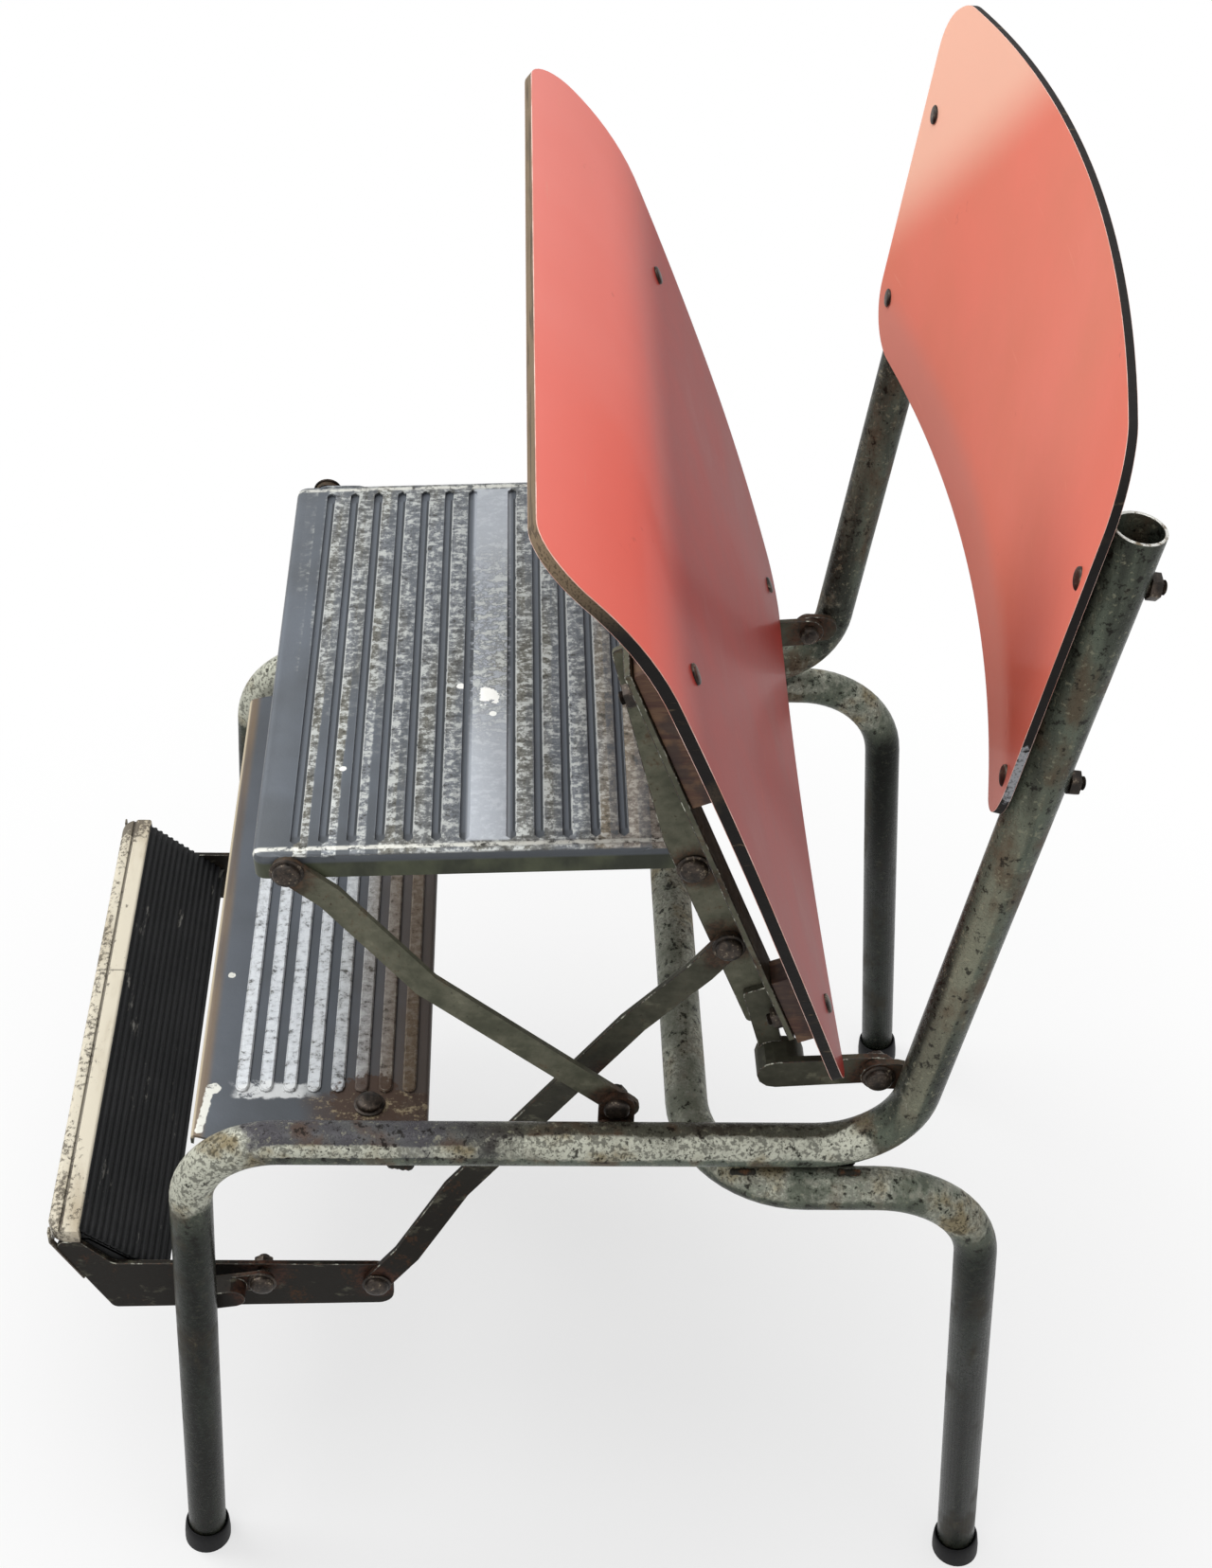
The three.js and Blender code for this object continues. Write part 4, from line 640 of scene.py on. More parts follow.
@finish()
def nosing_paint(f, c):
    across, fore, high = f.place.parts()
    fleck = f.noise(360, 5, 0.75)
    cloud = f.noise(24, 4)
    drag = f.noise(70, 5, stretch=(0.25, 1, 1))
    ends = abs(across).rise(0.12, 0.165)
    front = fore.fall(-0.262, -0.252)
    chips = (fleck * 0.55 + cloud * 0.35 + ends * 0.1 + front * 0.06).rise(0.54, 0.6)
    dirt = (drag * 0.6 + cloud * 0.4 + ends * 0.12).rise(0.5, 0.74)
    returned = abs(across).rise(0.155, 0.161) * high.fall(0.244, 0.258)
    seam = abs(fore + 0.2589).fall(0.0005, 0.001) * high.rise(0.256, 0.258)
    seam = seam.most(abs(across + 0.0302).fall(0.0002, 0.0006))
    tint = f.coats(
        c.ivory,
        (dirt * 0.75, (166, 150, 122)),
        (chips * 0.85, (70, 62, 50)),
        (returned * (0.6 + cloud * 0.5), (58, 46, 38)),
        (seam * 0.75, (60, 52, 42)),
    )
    height = drag * 0.3 - chips * 0.8 - seam
    return f.done(tint, roughness=0.4 + fleck * 0.2 + chips * 0.1, normal=f.bump(height, 0.0003, 0.7))


@finish(specular_ior_level=0.2)
def tread_rubber(f, c):
    tear = f.noise(85, 5, 0.75, stretch=(0.28, 1, 1))
    dust = f.noise(30, 4)
    fine = f.noise(700)
    tint = f.coats(
        c.rubber, (dust.rise(0.4, 0.7) * 0.5, (36, 36, 37)), (tear.rise(0.62, 0.7) * 0.55, (128, 126, 120))
    )
    return f.done(tint, roughness=0.5 + fine * 0.25, normal=f.bump(tear * 0.8 + fine * 0.3, 0.0006, 0.8))


@finish(specular_ior_level=0.15)
def foot_rubber(f, c):
    fine = f.noise(600)
    scuff = f.noise(90, 5, 0.7)
    tint = f.mix(scuff.rise(0.55, 0.75) * 0.5, (11, 11, 13), c.rubber)
    return f.done(tint, roughness=0.42 + fine * 0.2, normal=f.bump(scuff + fine * 0.3, 0.0003, 0.4))


@finish()
def browned_steel(f, c):
    patch = f.noise(170, 5, 0.7)
    grain = f.noise(800)
    bright = (patch * 0.5 + grain * 0.5).rise(0.56, 0.66) * 0.7
    return f.done(
        f.coats((34, 29, 25), (patch.rise(0.38, 0.62), c.steel), (bright, (168, 154, 132))),
        roughness=0.34 + grain * 0.25,
        metallic=0.75 - patch * 0.35,
        normal=f.bump(patch + grain * 0.4, 0.0002, 0.7),
    )


@finish()
def cut_rim(f, c):
    """Bare bright metal where a tube is cut off."""
    patch = f.noise(260, 4, 0.7)
    tint = f.mix(patch.rise(0.5, 0.62), (222, 222, 216), (120, 108, 90))
    return f.done(tint, roughness=0.3 + patch * 0.3, metallic=0.4 + patch * 0.2)


@finish(specular_ior_level=0.1)
def weld_bead(f, c):
    patch = f.noise(200, 4)
    tint = f.mix(patch.rise(0.5, 0.7), (38, 36, 31), c.rust)
    return f.done(tint, roughness=0.45 + patch * 0.3, normal=f.bump(patch, 0.0004, 0.8))


# Making and placing pieces


def only(geom, kind):
    return [part for part in geom if isinstance(part, kind)]


def put(bm, name, body, finishes, nodes=(), slot=None, sharp=35):
    """Makes a finished piece of a bmesh, and hides the nodes that it stands for."""
    mesh = bpy.data.meshes.new(name)
    bm.to_mesh(mesh)
    bm.free()
    for face in mesh.polygons:
        face.use_smooth = True
    mesh.set_sharp_from_angle(angle=math.radians(sharp))
    for laid in finishes:
        mesh.materials.append(laid)
    piece = bpy.data.objects.new(name, mesh)
    bpy.context.scene.collection.objects.link(piece)
    if nodes:
        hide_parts(*nodes)
    slot or SLOT_OF[nodes[0]]
    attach(piece, body)
    return piece


def put_pair(bm, name, body, finishes, node=None, **options):
    """Puts a shape made for the left side, and its twin on the right."""
    twin = bm.copy()
    bmesh.ops.transform(twin, matrix=MIRROR_X, verts=twin.verts)
    bmesh.ops.reverse_faces(twin, faces=twin.faces)
    return [
        put(shape, f"{name}_{side}", body, finishes, [f"{node}_{side}"] if node else (), **options)
        for (side, _), shape in zip(SIDES, (bm, twin))
    ]


def eased(piece, width, segments=2, material=-1, angle=35):
    """Rounds the corners of a piece, in a finish of their own where one is given."""
    ease = piece.modifiers.new("eased corners", "BEVEL")
    ease.width = width
    ease.segments = segments
    ease.profile = 0.5
    ease.limit_method = "ANGLE"
    ease.angle_limit = math.radians(angle)
    ease.material = material
    ease.harden_normals = True
    return piece


def walled(piece, thickness, sheet=0, rim=0):
    """Gives a skin its thickness, inward from its outer side."""
    wall = piece.modifiers.new("wall", "SOLIDIFY")
    wall.thickness = thickness
    wall.offset = -1
    wall.use_even_offset = True
    wall.material_offset = sheet
    wall.material_offset_rim = rim
    return piece


def dressed(node, finishes, width, segments=2):
    """A copy of a node with its points merged, its flat faces joined and its corners eased."""
    bm = bmesh.new()
    bm.from_mesh(frame["nodes"][node].data)
    bmesh.ops.remove_doubles(bm, verts=bm.verts, dist=MERGE)
    bmesh.ops.dissolve_limit(bm, angle_limit=math.radians(1), verts=bm.verts, edges=bm.edges)
    for face in bm.faces:
        face.material_index = 0
    piece = put(bm, f"{node}_dressed", BODY_OF[node], finishes, [node])
    return eased(piece, width, segments, len(finishes) - 1)


def stand(bm, place, heading):
    """Turns a shape made round Z to a heading, and sets it in its place."""
    turn = UP.rotation_difference(heading).to_matrix().to_4x4()
    bmesh.ops.transform(bm, matrix=Matrix.Translation(place) @ turn, verts=bm.verts)


def swept_tube(start, bends, end):
    """A tube's outer skin, drawn out along straight runs and spun round each bend."""
    size = sizes()
    points = [Vector(point) * MM for point in (start, *(corner for corner, _ in bends), end)]
    heading = (points[1] - points[0]).normalized()
    bm = bmesh.new()
    bmesh.ops.create_circle(bm, segments=size.tube_sides, radius=size.tube_radius)
    stand(bm, points[0], heading)
    edges, here = bm.edges[:], points[0]

    def run_to(place):
        nonlocal edges, here
        grown = bmesh.ops.extrude_edge_only(bm, edges=edges)["geom"]
        verts = only(grown, BMVert)
        bmesh.ops.translate(bm, verts=verts, vec=place - here)
        edges = [edge for edge in only(grown, BMEdge) if all(vert in verts for vert in edge.verts)]
        here = place

    for (_, radius), corner, beyond in zip(bends, points[1:], points[2:]):
        onward = (beyond - corner).normalized()
        angle = heading.angle(onward)
        reach = radius * MM * math.tan(angle / 2)
        run_to(corner - heading * reach)
        spun_round = bmesh.ops.spin(
            bm,
            geom=list(dict.fromkeys(vert for edge in edges for vert in edge.verts)) + edges,
            cent=corner + (onward - heading).normalized() * (radius * MM / math.cos(angle / 2)),
            axis=heading.cross(onward).normalized(),
            angle=angle,
            steps=size.bend_steps,
            use_duplicate=False,
        )
        edges = only(spun_round["geom_last"], BMEdge)
        here, heading = corner + onward * reach, onward
    run_to(points[-1])
    bmesh.ops.remove_doubles(bm, verts=bm.verts, dist=MERGE)
    bmesh.ops.recalc_face_normals(bm, faces=bm.faces)
    # A face halfway up the first run shows whether the skin looks away from its axis
    middle = (points[0] + points[1]) / 2
    nearest = min(bm.faces, key=lambda face: (face.calc_center_median() - middle).length)
    out = nearest.calc_center_median() - middle
    axis = (points[1] - points[0]).normalized()
    face_towards(bm, nearest, out - axis * out.dot(axis))
    return bm


def spun(bm, profile, sides):
    """Spins a half outline of radius and height, in millimetres, round Z into one closed shell."""
    verts = [bm.verts.new((radius * MM, 0, height * MM)) for radius, height in profile]
    edges = [bm.edges.new(pair) for pair in zip(verts, verts[1:])]
    bmesh.ops.spin(
        bm,
        geom=verts + edges,
        cent=(0, 0, 0),
        axis=UP,
        angle=math.tau,
        steps=sides,
        use_merge=True,
        use_duplicate=False,
    )
    bmesh.ops.remove_doubles(bm, verts=bm.verts, dist=MERGE)
    bmesh.ops.recalc_face_normals(bm, faces=bm.faces)


def face_towards(bm, face, way):
    """Turns a sheet over where one of its faces looks away from where it should."""
    bm.normal_update()
    if face.normal.dot(way) < 0:
        bmesh.ops.reverse_faces(bm, faces=bm.faces)


def panel(name, node, run, half_width, surface, facing, thickness):
    """A moulded plywood panel: a sheet drawn to its outline and curve, then given its plies."""
    size = sizes()
    bm = bmesh.new()
    bmesh.ops.create_grid(bm, x_segments=size.panel_columns, y_segments=size.panel_rows, size=0.5)
    for vert in bm.verts:
        along = run * (1 - math.cos(math.pi * (vert.co.y + 0.5))) / 2
        vert.co = surface(2 * vert.co.x * half_width(along), along)
    face_towards(bm, min(bm.faces, key=lambda face: abs(face.calc_center_median().x)), facing)
    finishes = [coral_laminate(), backing_sheet(), ply_edge(), laminate_rim_highlight()]
    piece = put(bm, name, BODY_OF[node], finishes, [node])
    walled(piece, thickness, 1, 2)
    eased(piece, size.panel_edge, 2, 3, 60)


def rounded_half(straight, along, run, corners):
    """Half the width of a panel at a place along it, once its corners are rounded."""
    for radius, away in zip(corners, (along, run - along)):
        straight -= radius - math.sqrt(radius**2 - max(radius - away, 0) ** 2)
    return straight


def seat_surface(x, along):
    place = SEAT_REAR + along
    behind = max(SEAT_FLAT[0] - place, 0) / (SEAT_FLAT[0] - SEAT_REAR)
    ahead = max(place - SEAT_FLAT[1], 0) / (SEAT_FRONT - SEAT_FLAT[1])
    hollow = max(1 - (x / SEAT_HALF) ** 2, 0) * (1 - (along / SEAT_LENGTH) ** 3)
    below = SEAT_DROP * behind**2 + SEAT_CURL * ahead**2 + SEAT_HOLLOW * hollow
    y, z = (HINGE[i] + SEAT_ALONG[i] * place + SEAT_BELOW[i] * below for i in (0, 1))
    return Vector((x, y, z)) * MM


def seat_half(along):
    behind = max(SEAT_TAPERED - SEAT_REAR - along, 0) / (SEAT_TAPERED - SEAT_REAR)
    return rounded_half(SEAT_HALF - SEAT_TAPER * behind**2, along, SEAT_LENGTH, SEAT_CORNERS)


def back_surface(x, along):
    climb = (BACK_LOW + along - RAIL_HIGH) / UPRIGHT_RISE
    axis_x, axis_y = (foot + (top - foot) * climb for foot, top in zip(UPRIGHT_FOOT[:2], UPRIGHT_TOP))
    inward = 1 - (x / axis_x) ** 2
    slant = math.hypot(1, 2 * BACK_BULGE / axis_x, UPRIGHT_LEAN)
    y = axis_y - BACK_OFF_AXIS * slant - BACK_OFF_TUBE + BACK_BULGE * inward
    z = BACK_LOW + along + BACK_ARCH * along / BACK_HEIGHT * max(inward, 0)
    return Vector((x, y, z)) * MM


def back_half(along):
    return rounded_half(BACK_HALF + BACK_FLARE * along / BACK_HEIGHT, along, BACK_HEIGHT, BACK_CORNERS)


class ChairOperator(bpy.types.Operator):
    """What every operator of the chair shares."""

    bl_options = {"REGISTER", "UNDO"}

    def execute(self, context):
        self.make()
        return {"FINISHED"}


class CHAIR_OT_tubes(ChairOperator):
    """Draws the two side tubes and the rear leg tube as smooth bent tubes with open ends"""

    bl_idname = "chair.tubes"
    bl_label = "Frame tubes"

    def make(self):
        wall = sizes().tube_wall
        finishes = [tube_enamel(), cut_rim()]
        side = swept_tube(SIDE_TUBE_START, SIDE_TUBE_BENDS, UPRIGHT_TOP)
        for piece in put_pair(side, "bent_side_tube", "frame", finishes, "side_tube"):
            eased(walled(piece, wall, 0, 1), wall / 4, 2, 1, 60)
        twin = [((-x, y, z), radius) for (x, y, z), radius in reversed(REAR_LEG_BENDS)]
        end = (-REAR_LEG_START[0], *REAR_LEG_START[1:])
        rear = swept_tube(REAR_LEG_START, [*REAR_LEG_BENDS, *twin], end)
        walled(put(rear, "bent_rear_leg_tube", "frame", finishes, ["rear_leg_tube"]), wall, 0, 1)


class CHAIR_OT_feet(ChairOperator):
    """Turns the rubber cups on the four legs and cuts them flat on the floor"""

    bl_idname = "chair.feet"
    bl_label = "Rubber feet"

    sides = 36
    profile = (
        (0, -6), (13.2, -6), (13.6, -1), (13.6, 6.2), (13.3, 10.5), (12.9, 14.8), (12.5, 15.8),
        (11.9, 16), (11.4, 15.6), (11.3, 14.8), (11.3, 4), (0, 4),
    )
    legs = (
        ("front_foot", (RAIL_OUT, -198.9, 0), SIDE_TUBE_BENDS[0][0]),
        ("rear_foot", (REAR_OUT, 252.6, 0), REAR_LEG_BENDS[0][0]),
    )

    def make(self):
        for node, floor, above in self.legs:
            floor, above = Vector(floor) * MM, Vector(above) * MM
            bm = bmesh.new()
            spun(bm, self.profile, self.sides)
            stand(bm, floor, above - floor)
            geom = bm.verts[:] + bm.edges[:] + bm.faces[:]
            cut = bmesh.ops.bisect_plane(bm, geom=geom, plane_co=(0, 0, 0), plane_no=UP, clear_inner=True)
            bmesh.ops.holes_fill(bm, edges=only(cut["geom_cut"], BMEdge))
            put_pair(bm, f"cupped_{node}", "frame", [foot_rubber()], node)


class CHAIR_OT_panels(ChairOperator):
    """Moulds the seat and the backrest, with laminate, backing and plies in the edge"""

    bl_idname = "chair.panels"
    bl_label = "Seat and backrest"

    def make(self):
        seat, back = sizes().seat_thickness, sizes().back_thickness
        panel("moulded_seat", "seat_panel", SEAT_LENGTH, seat_half, seat_surface, OFF_SEAT, seat)
        ahead = Vector((0, -1, 0))
        panel("moulded_backrest", "backrest_panel", BACK_HEIGHT, back_half, back_surface, ahead, back)


class CHAIR_OT_plates(ChairOperator):
    """Finishes the pressed plates of the upper step and the fixed step"""

    bl_idname = "chair.plates"
    bl_label = "Step plates"

    def make(self):
        paints = {"upper_step_plate": upper_plate_paint, "fixed_step_plate": fixed_plate_paint}
        for node, paint in paints.items():
            dressed(node, [paint(), rubbed_edge()], sizes().sheet_edge)


class CHAIR_OT_lower_step(ChairOperator):
    """Finishes the lower step: pan, side plates, nosing and ribbed rubber"""

    bl_idname = "chair.lower_step"
    bl_label = "Lower step"

    # Y and Z of the tread's edges and of the folded nosing, and other lengths, in millimetres
    top, rear = (-248.6, 257.8), (-205.2, 218.5)
    columns, rows_in_rib = 40, 8
    skirt_thick, skirt_deep, skirt_below = 2.4, 11, 2
    returns = ((-265.4, 259), (-265.6, 249.6), (-264.9, 248.2), (-258.6, 234.6), (-251, 218.2))
    return_thick, return_edge, return_proud, return_wide = 1.1, 0.3, 0.6, 1

    def make(self):
        size = sizes()
        bar = [dark_linkage_paint(), rubbed_edge()]
        dressed("lower_step_pan", bar, size.sheet_edge)
        for side, _ in SIDES:
            dressed(f"lower_step_arm_{side}", bar, size.bar_edge)
        dressed("lower_step_nosing", [nosing_paint()], size.soft_edge, segments=3)
        start, end = (Vector((0, *edge)) * MM for edge in (self.top, self.rear))
        off = (start - end).cross(LEFT).normalized()
        self.tread(start, end - start, off)
        self.skirts((start + end) / 2, end - start, off)
        self.nosing_returns()

    def tread(self, start, slope, off):
        """Rolls the ribbed rubber out down the slope."""
        size = sizes()
        low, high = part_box("lower_step_rubber")
        bm = bmesh.new()
        rows = size.tread_ribs * self.rows_in_rib
        bmesh.ops.create_grid(bm, x_segments=self.columns, y_segments=rows, size=0.5)
        for vert in bm.verts:
            share = vert.co.y + 0.5
            wave = math.cos(math.tau * size.tread_ribs * share)
            dip = size.tread_rib * min(max(0.5 - wave, 0), 1)
            vert.co = LEFT * vert.co.x * (high.x - low.x) + start + slope * share - off * dip
        face_towards(bm, bm.faces[:][0], off)
        rubber = [tread_rubber()]
        piece = put(bm, "ribbed_tread_rubber", "lower_step", rubber, ["lower_step_rubber"], sharp=50)
        walled(piece, size.tread_rubber - size.tread_rib)

    def skirts(self, middle, slope, off):
        """Turns the rubber down at both ends, beside the arms."""
        thick, deep, below = (part * MM for part in (self.skirt_thick, self.skirt_deep, self.skirt_below))
        _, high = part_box("lower_step_rubber")
        bm = bmesh.new()
        bmesh.ops.create_cube(bm, size=1)
        axes = Matrix((LEFT * thick, slope, off * deep)).transposed().to_4x4()
        place = middle + LEFT * (high.x - thick / 2) - off * (deep / 2 + below)
        bmesh.ops.transform(bm, matrix=Matrix.Translation(place) @ axes, verts=bm.verts)
        bmesh.ops.recalc_face_normals(bm, faces=bm.faces)
        put_pair(bm, "tread_end", "lower_step", [tread_rubber()], slot="rubber")

    def nosing_returns(self):
        """Leads the nosing's metal round both corners and down the front of each arm."""
        low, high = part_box("lower_step_arm_left")
        outer = high.x + self.return_proud * MM
        bm = bmesh.new()
        verts = [bm.verts.new((outer, y * MM, z * MM)) for y, z in self.returns]
        edges = [bm.edges.new(pair) for pair in zip(verts, verts[1:])]
        inner = only(bmesh.ops.extrude_edge_only(bm, edges=edges)["geom"], BMVert)
        bmesh.ops.translate(bm, verts=inner, vec=LEFT * (low.x - high.x - self.return_wide * MM))
        bmesh.ops.recalc_face_normals(bm, faces=bm.faces)
        face_towards(bm, bm.faces[:][0], Vector((0, -1, 0)))
        for strip in put_pair(bm, "nosing_return", "lower_step", [nosing_paint()], slot="nosing"):
            eased(walled(strip, self.return_thick * MM), self.return_edge * MM)


class CHAIR_OT_linkage(ChairOperator):
    """Finishes the links, arms, brackets, lugs and straps of flat bar"""

    bl_idname = "chair.linkage"
    bl_label = "Linkage"

    dark = (
        "seat_hinge_lug", "front_link_lug", "lower_step_strap", "fixed_step_lug", "long_link",
        "seat_hinge_bracket",
    )
    olive = ("front_link", "seat_arm")

    def make(self):
        for pieces, paint in ((self.dark, dark_linkage_paint), (self.olive, linkage_paint)):
            for node in (f"{piece}_{side}" for piece in pieces for side, _ in SIDES):
                dressed(node, [paint(), rubbed_edge()], sizes().bar_edge)


class CHAIR_OT_packers(ChairOperator):
    """Finishes the wooden packing blocks between the seat and its arms"""

    bl_idname = "chair.packers"
    bl_label = "Packing blocks"

    def make(self):
        for place in ("front", "rear"):
            for side, _ in SIDES:
                dressed(f"seat_packer_{place}_{side}", [packing_wood()], sizes().soft_edge)


class CHAIR_OT_bolts(ChairOperator):
    """Turns every slotted bolt and screw, with its washer, thread and nut"""

    bl_idname = "chair.bolts"
    bl_label = "Bolts and screws"

    # Radii and heights in millimetres
    head = ((6.5, 0.1), (6.5, 1.5), (6.2, 2.3), (5.3, 2.95), (3.6, 3.4), (1.6, 3.57), (0, 3.6))
    low_head = (0.74, 0.5, 0.5)  # Its share of the width, its share of the height, and how far it is sunk
    washer = ((7.8, 0), (8, 0.2), (8, 0.9), (7.6, 1.2))
    washered = 7  # A node that reaches further out than this has a washer
    point, root, crest = 2.5, 2.75, 3
    pitch, turns = 0.4, 6
    nut_radius, nut_middle, nut_depth, nut_ease = 5.77, 4.75, 4.5, 0.4
    slot_depth = 1.1

    across = (
        "hinge_bolt", "front_link_foot_bolt", "upper_step_rear_bolt", "long_link_top_bolt",
        "lower_step_pivot_bolt", "upper_step_front_bolt", "long_link_foot_bolt",
    )
    no_nut = ("upper_step_front_bolt", "long_link_foot_bolt")
    low_heads = ("seat_screw", "backrest_screw")

    def make(self):
        back = Vector((0, -1, UPRIGHT_LEAN)).normalized()
        headings = {name: LEFT for name in self.across}
        headings["fixed_step_screw"] = UP
        headings["seat_screw_front"] = headings["seat_screw_rear"] = OFF_SEAT
        headings["backrest_screw_upper"] = headings["backrest_screw_lower"] = back
        for number, (name, heading) in enumerate(headings.items()):
            for side, sign in SIDES:
                facing = Vector((heading.x * sign, heading.y, heading.z))
                slot_turn = 0.6 + 1.9 * number + 0.7 * sign
                low_head = name.startswith(self.low_heads)
                self.bolt(f"{name}_{side}", facing, name not in self.no_nut, slot_turn, low_head)

    def bolt(self, node, facing, nut, slot_turn, low_head):
        """Measures the node's tip, length and width, and turns a bolt of that size in its place."""
        points = [Vector(vert.co) for vert in frame["nodes"][node].data.vertices]
        reach = [point.dot(facing) for point in points]
        low, high = min(reach), max(reach)
        tip = [point for point, far in zip(points, reach) if far < low + 1e-5]
        centre = (Vector(map(min, zip(*tip))) + Vector(map(max, zip(*tip)))) / 2
        spread = max((point - centre - facing * (point - centre).dot(facing)).length for point in points)
        under = (high - low) / MM - self.head[-1][1]
        turns = self.turns if nut else 1
        profile = [(0, 0), (self.point, 0)]
        for turn in range(1, turns + 1):
            profile += [(self.crest, self.pitch * turn), (self.root, self.pitch * (turn + 0.5))]
        profile.append((self.crest, self.pitch * (turns + 1)))
        if spread > self.washered * MM:
            seat = under - self.washer[-1][1]
            profile.append((self.crest, seat))
            profile += [(radius, seat + height) for radius, height in self.washer]
        else:
            profile.append((self.crest, under))
        wide, tall, sunk = self.low_head if low_head else (1, 1, 0)
        under -= sunk
        profile += [(radius * wide, under + height * tall) for radius, height in self.head]
        bm = bmesh.new()
        spun(bm, profile, sizes().bolt_sides)
        self.cut_slot(bm, under * MM, tall * MM, slot_turn)
        if nut:
            self.add_nut(bm, slot_turn)
        stand(bm, centre, facing)
        put(bm, f"slotted_{node}", BODY_OF[node], [browned_steel()], [node], sharp=40)

    def cut_slot(self, bm, under, tall, turn):
        """Sinks a strip across the crown of the head."""
        width = sizes().slot_width
        side = Vector((math.cos(turn), math.sin(turn), 0))

        def crown():
            raised = [face for face in bm.faces if face.normal.z > 0.2]
            return [face for face in raised if face.calc_center_median().z > under + tall]

        for way in (side, -side):
            faces = crown()
            geom = faces + list(dict.fromkeys(part for face in faces for part in (*face.edges, *face.verts)))
            bmesh.ops.bisect_plane(bm, geom=geom, plane_co=way * width / 2, plane_no=way, dist=1e-7)
        bm.normal_update()
        strip = [face for face in crown() if abs(face.calc_center_median().dot(side)) < width / 2]
        floor = only(bmesh.ops.extrude_face_region(bm, geom=strip)["geom"], BMVert)
        bmesh.ops.translate(bm, verts=floor, vec=UP * (-self.slot_depth * tall))

    def add_nut(self, bm, turn):
        radius, middle = self.nut_radius * MM, UP * self.nut_middle * MM
        place = Matrix.Translation(middle) @ Matrix.Rotation(turn, 4, "Z")
        sizes_in = {"segments": 6, "radius1": radius, "radius2": radius, "depth": self.nut_depth * MM}
        verts = bmesh.ops.create_cone(bm, cap_ends=True, matrix=place, **sizes_in)["verts"]
        rim = [edge for edge in bm.edges if all(vert in verts for vert in edge.verts)]
        easing = {"offset": self.nut_ease * MM, "segments": 2, "profile": 0.5, "affect": "EDGES"}
        bmesh.ops.bevel(bm, geom=rim, material=-1, clamp_overlap=True, **easing)


class CHAIR_OT_welds(ChairOperator):
    """Lays weld beads where the tubes, lugs and straps are joined"""

    bl_idname = "chair.welds"
    bl_label = "Weld beads"

    # Each bead's start and end, in millimetres, and its share of the full radius
    beads = (
        ((200.9, 90, 358), (200.9, 100, 358), 0.6),
        ((200.9, 143, 358), (200.9, 152, 358), 0.6),
        ((189.9, 96, 353.4), (189.9, 150, 353.4), 1.0),
        ((180.3, 25.5, 368.2), (180.3, 40.3, 368.2), 0.6),
        ((181.4, -186.6, 218.4), (181.4, -186.2, 230), 0.5),
        ((193, -78, 354.8), (193, -70, 354.8), 1.3),
    )
    step = 0.75

    def make(self):
        for number, (start, end, share) in enumerate(self.beads):
            bm = bmesh.new()
            radius = sizes().weld_radius * share
            start, end = Vector(start) * MM, Vector(end) * MM
            drops = max(3, round((end - start).length / (radius * self.step)))
            for drop in range(drops + 1):
                wobble = 1 + 0.12 * math.sin(5 * drop + number)
                place = Matrix.Translation(start.lerp(end, drop / drops))
                shape = place @ Matrix.Diagonal((wobble, 0.85, wobble, 1))
                bmesh.ops.create_icosphere(bm, subdivisions=2, radius=radius, matrix=shape)
            put_pair(bm, f"weld_{number}", "frame", [weld_bead()], slot="tube", sharp=60)


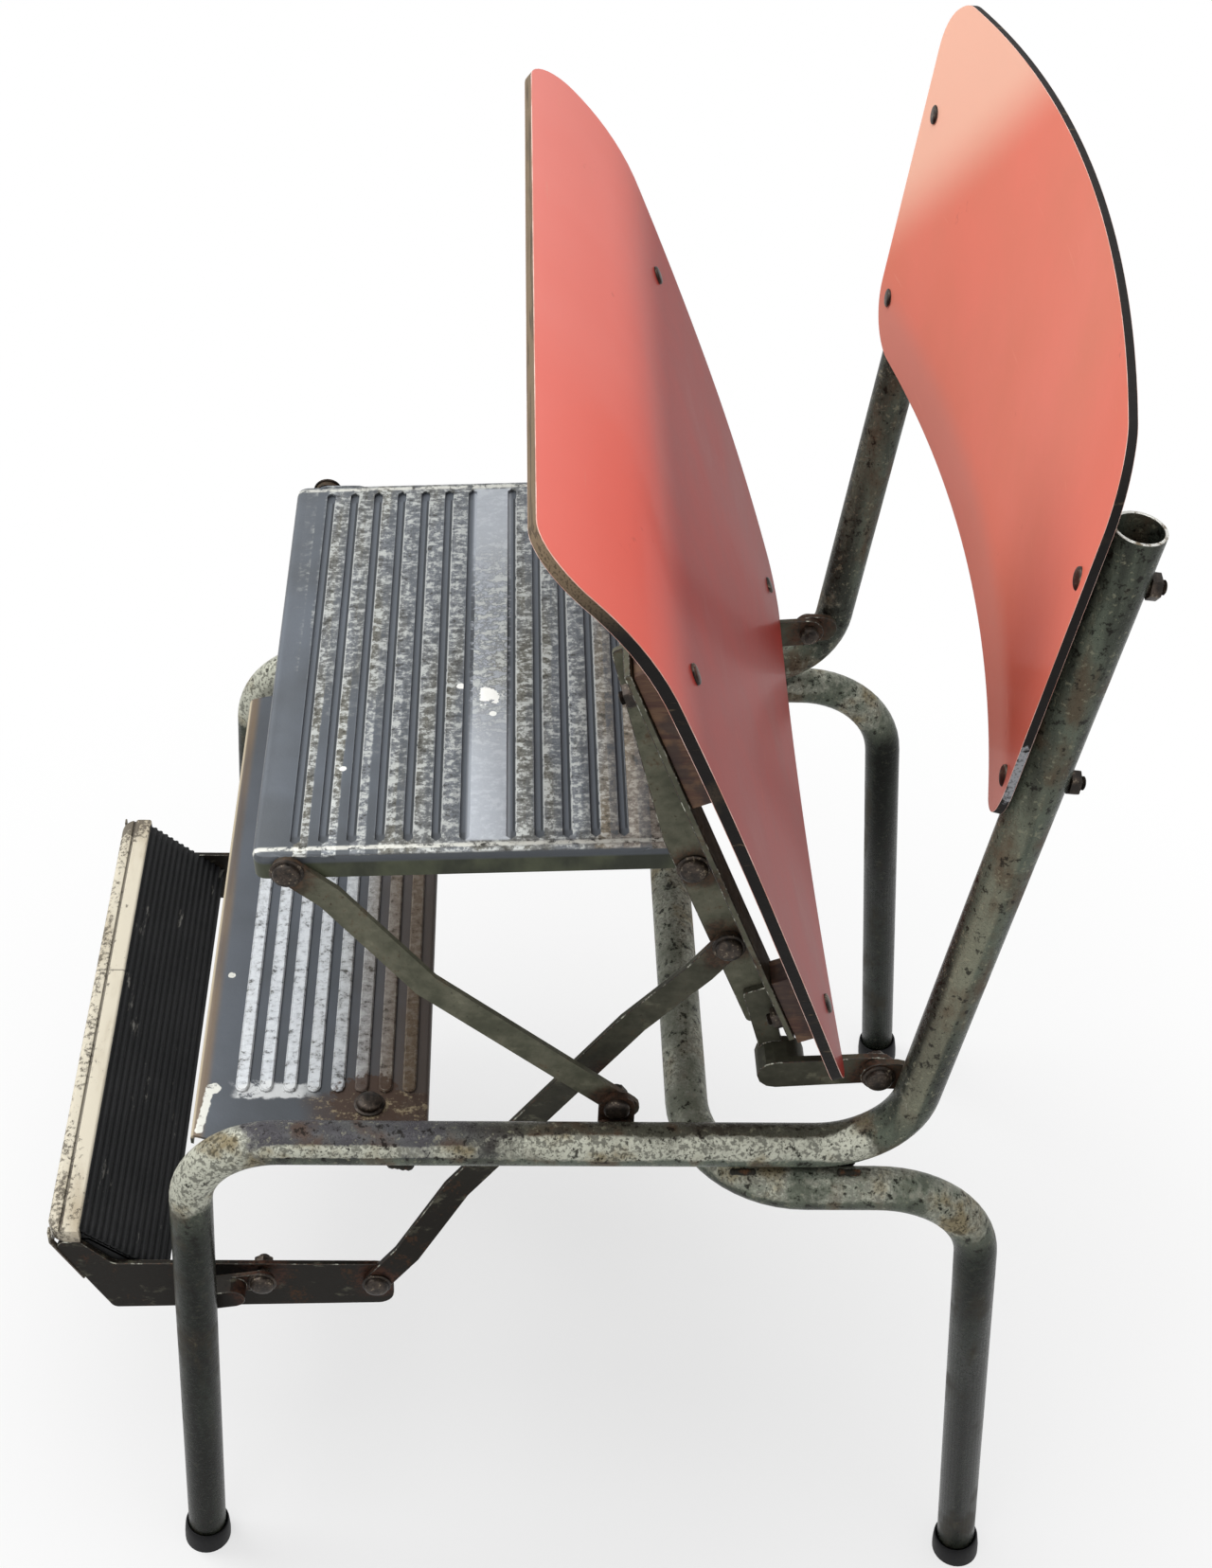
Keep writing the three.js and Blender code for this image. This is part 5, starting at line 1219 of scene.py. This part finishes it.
class CHAIR_OT_stage(ChairOperator):
    """Sets the pale floor, the soft lamps, the white surroundings and the camera"""

    bl_idname = "chair.stage"
    bl_label = "Studio"

    floor_half = 80
    surroundings_light = 0.42
    aim = Vector((0, 0, 0.4))
    # Each lamp's place, side and power
    lamps = (
        ("key_lamp", (-0.7, -1.7, 2.4), 1.6, 44),
        ("fill_lamp", (2.2, -1.0, 1.3), 1.4, 9),
        ("top_lamp", (0.2, 0.0, 2.9), 1.8, 26),
    )
    # The camera fitted to the photo, in metres, degrees and pixels
    camera_place = (0.8933, -0.0257, 1.2159)
    camera_turn = (88.1, 46.62, 1.74)
    lens_pixels = 2345.11
    centre_pixels = (584.86, 919.83)
    picture_pixels = (1280, 1656)

    def make(self):
        scene = bpy.context.scene
        scene.view_settings.view_transform = "Standard"
        self.floor(scene)
        self.surroundings(scene)
        for name, place, side, power in self.lamps:
            lamp = bpy.data.lights.new(name, "AREA")
            lamp.shape = "SQUARE"
            lamp.size = side
            lamp.energy = power
            stand = bpy.data.objects.new(name, lamp)
            stand.location = place
            stand.rotation_euler = (self.aim - Vector(place)).to_track_quat("-Z", "Y").to_euler()
            scene.collection.objects.link(stand)
        self.camera(scene)

    def floor(self, scene):
        """A pale floor, white to the camera from a little way off, that keeps the chair's shadow."""
        bm = bmesh.new()
        bmesh.ops.create_grid(bm, x_segments=8, y_segments=8, size=self.floor_half)
        mesh = bpy.data.meshes.new("studio_floor")
        bm.to_mesh(mesh)
        bm.free()
        f = Finish("floor_paper", 0.9)
        glow = f.node("ShaderNodeEmission", {}, {"Color": (1, 1, 1, 1), "Strength": 1.0})
        share = f.seen() * (f.place.length().rise(0.1, 0.75) * 0.44 + 0.56)
        f.surface(share, Wire(f, f.shader.outputs[0]), glow, "Material Output")
        mesh.materials.append(f.done(f.mix(f.noise(0.8, 2), colours().floor, (218, 218, 218))))
        floor = bpy.data.objects.new("studio_floor", mesh)
        scene.collection.objects.link(floor)

    def surroundings(self, scene):
        """White to the camera, and soft light on the chair."""
        scene.world = bpy.data.worlds.new("white_surroundings")
        scene.world.use_nodes = True
        tree = Tree(scene.world.node_tree)
        lit, white = (
            tree.node("ShaderNodeBackground", {}, {"Color": (1, 1, 1, 1), "Strength": strength})
            for strength in (self.surroundings_light, 1.0)
        )
        tree.surface(tree.seen(), lit, white, "World Output")

    def camera(self, scene):
        wide, tall = self.picture_pixels
        lens = bpy.data.cameras.new("photo_camera")
        lens.sensor_fit = "VERTICAL"
        lens.sensor_height = 36
        lens.lens = self.lens_pixels * lens.sensor_height / tall
        lens.shift_x = (wide / 2 - self.centre_pixels[0]) / tall
        lens.shift_y = (self.centre_pixels[1] - tall / 2) / tall
        camera = bpy.data.objects.new("photo_camera", lens)
        camera.matrix_world = Matrix.Translation(self.camera_place)
        for angle, axis in zip(self.camera_turn, "ZXZ"):
            camera.matrix_world @= Matrix.Rotation(math.radians(angle), 4, axis)
        scene.collection.objects.link(camera)
        scene.camera = camera


OPERATORS = (
    CHAIR_OT_tubes,
    CHAIR_OT_feet,
    CHAIR_OT_panels,
    CHAIR_OT_plates,
    CHAIR_OT_lower_step,
    CHAIR_OT_linkage,
    CHAIR_OT_packers,
    CHAIR_OT_bolts,
    CHAIR_OT_welds,
    CHAIR_OT_stage,
)


class CHAIR_PT_panel(bpy.types.Panel):
    """Sizes, colours and pieces of the chair"""

    bl_label = "Step stool"
    bl_idname = "CHAIR_PT_panel"
    bl_space_type = "VIEW_3D"
    bl_region_type = "UI"
    bl_category = "Step stool"

    def draw(self, context):
        for operator in OPERATORS:
            self.layout.operator(operator.bl_idname)
        for group in (sizes(), colours()):
            box = self.layout.box()
            for name in group.__annotations__:
                box.prop(group, name, text=name.replace("_", " ").capitalize())


CLASSES = (ChairSizes, ChairColours, *OPERATORS, CHAIR_PT_panel)


def register():
    for kind in CLASSES:
        bpy.utils.register_class(kind)
    bpy.types.Scene.chair_sizes = bpy.props.PointerProperty(type=ChairSizes)
    bpy.types.Scene.chair_colours = bpy.props.PointerProperty(type=ChairColours)


def unregister():
    del bpy.types.Scene.chair_colours
    del bpy.types.Scene.chair_sizes
    for kind in reversed(CLASSES):
        bpy.utils.unregister_class(kind)


def main():
    register()
    for operator in OPERATORS:
        getattr(bpy.ops.chair, operator.bl_idname.split(".")[1])()


if __name__ == "__main__":
    main()
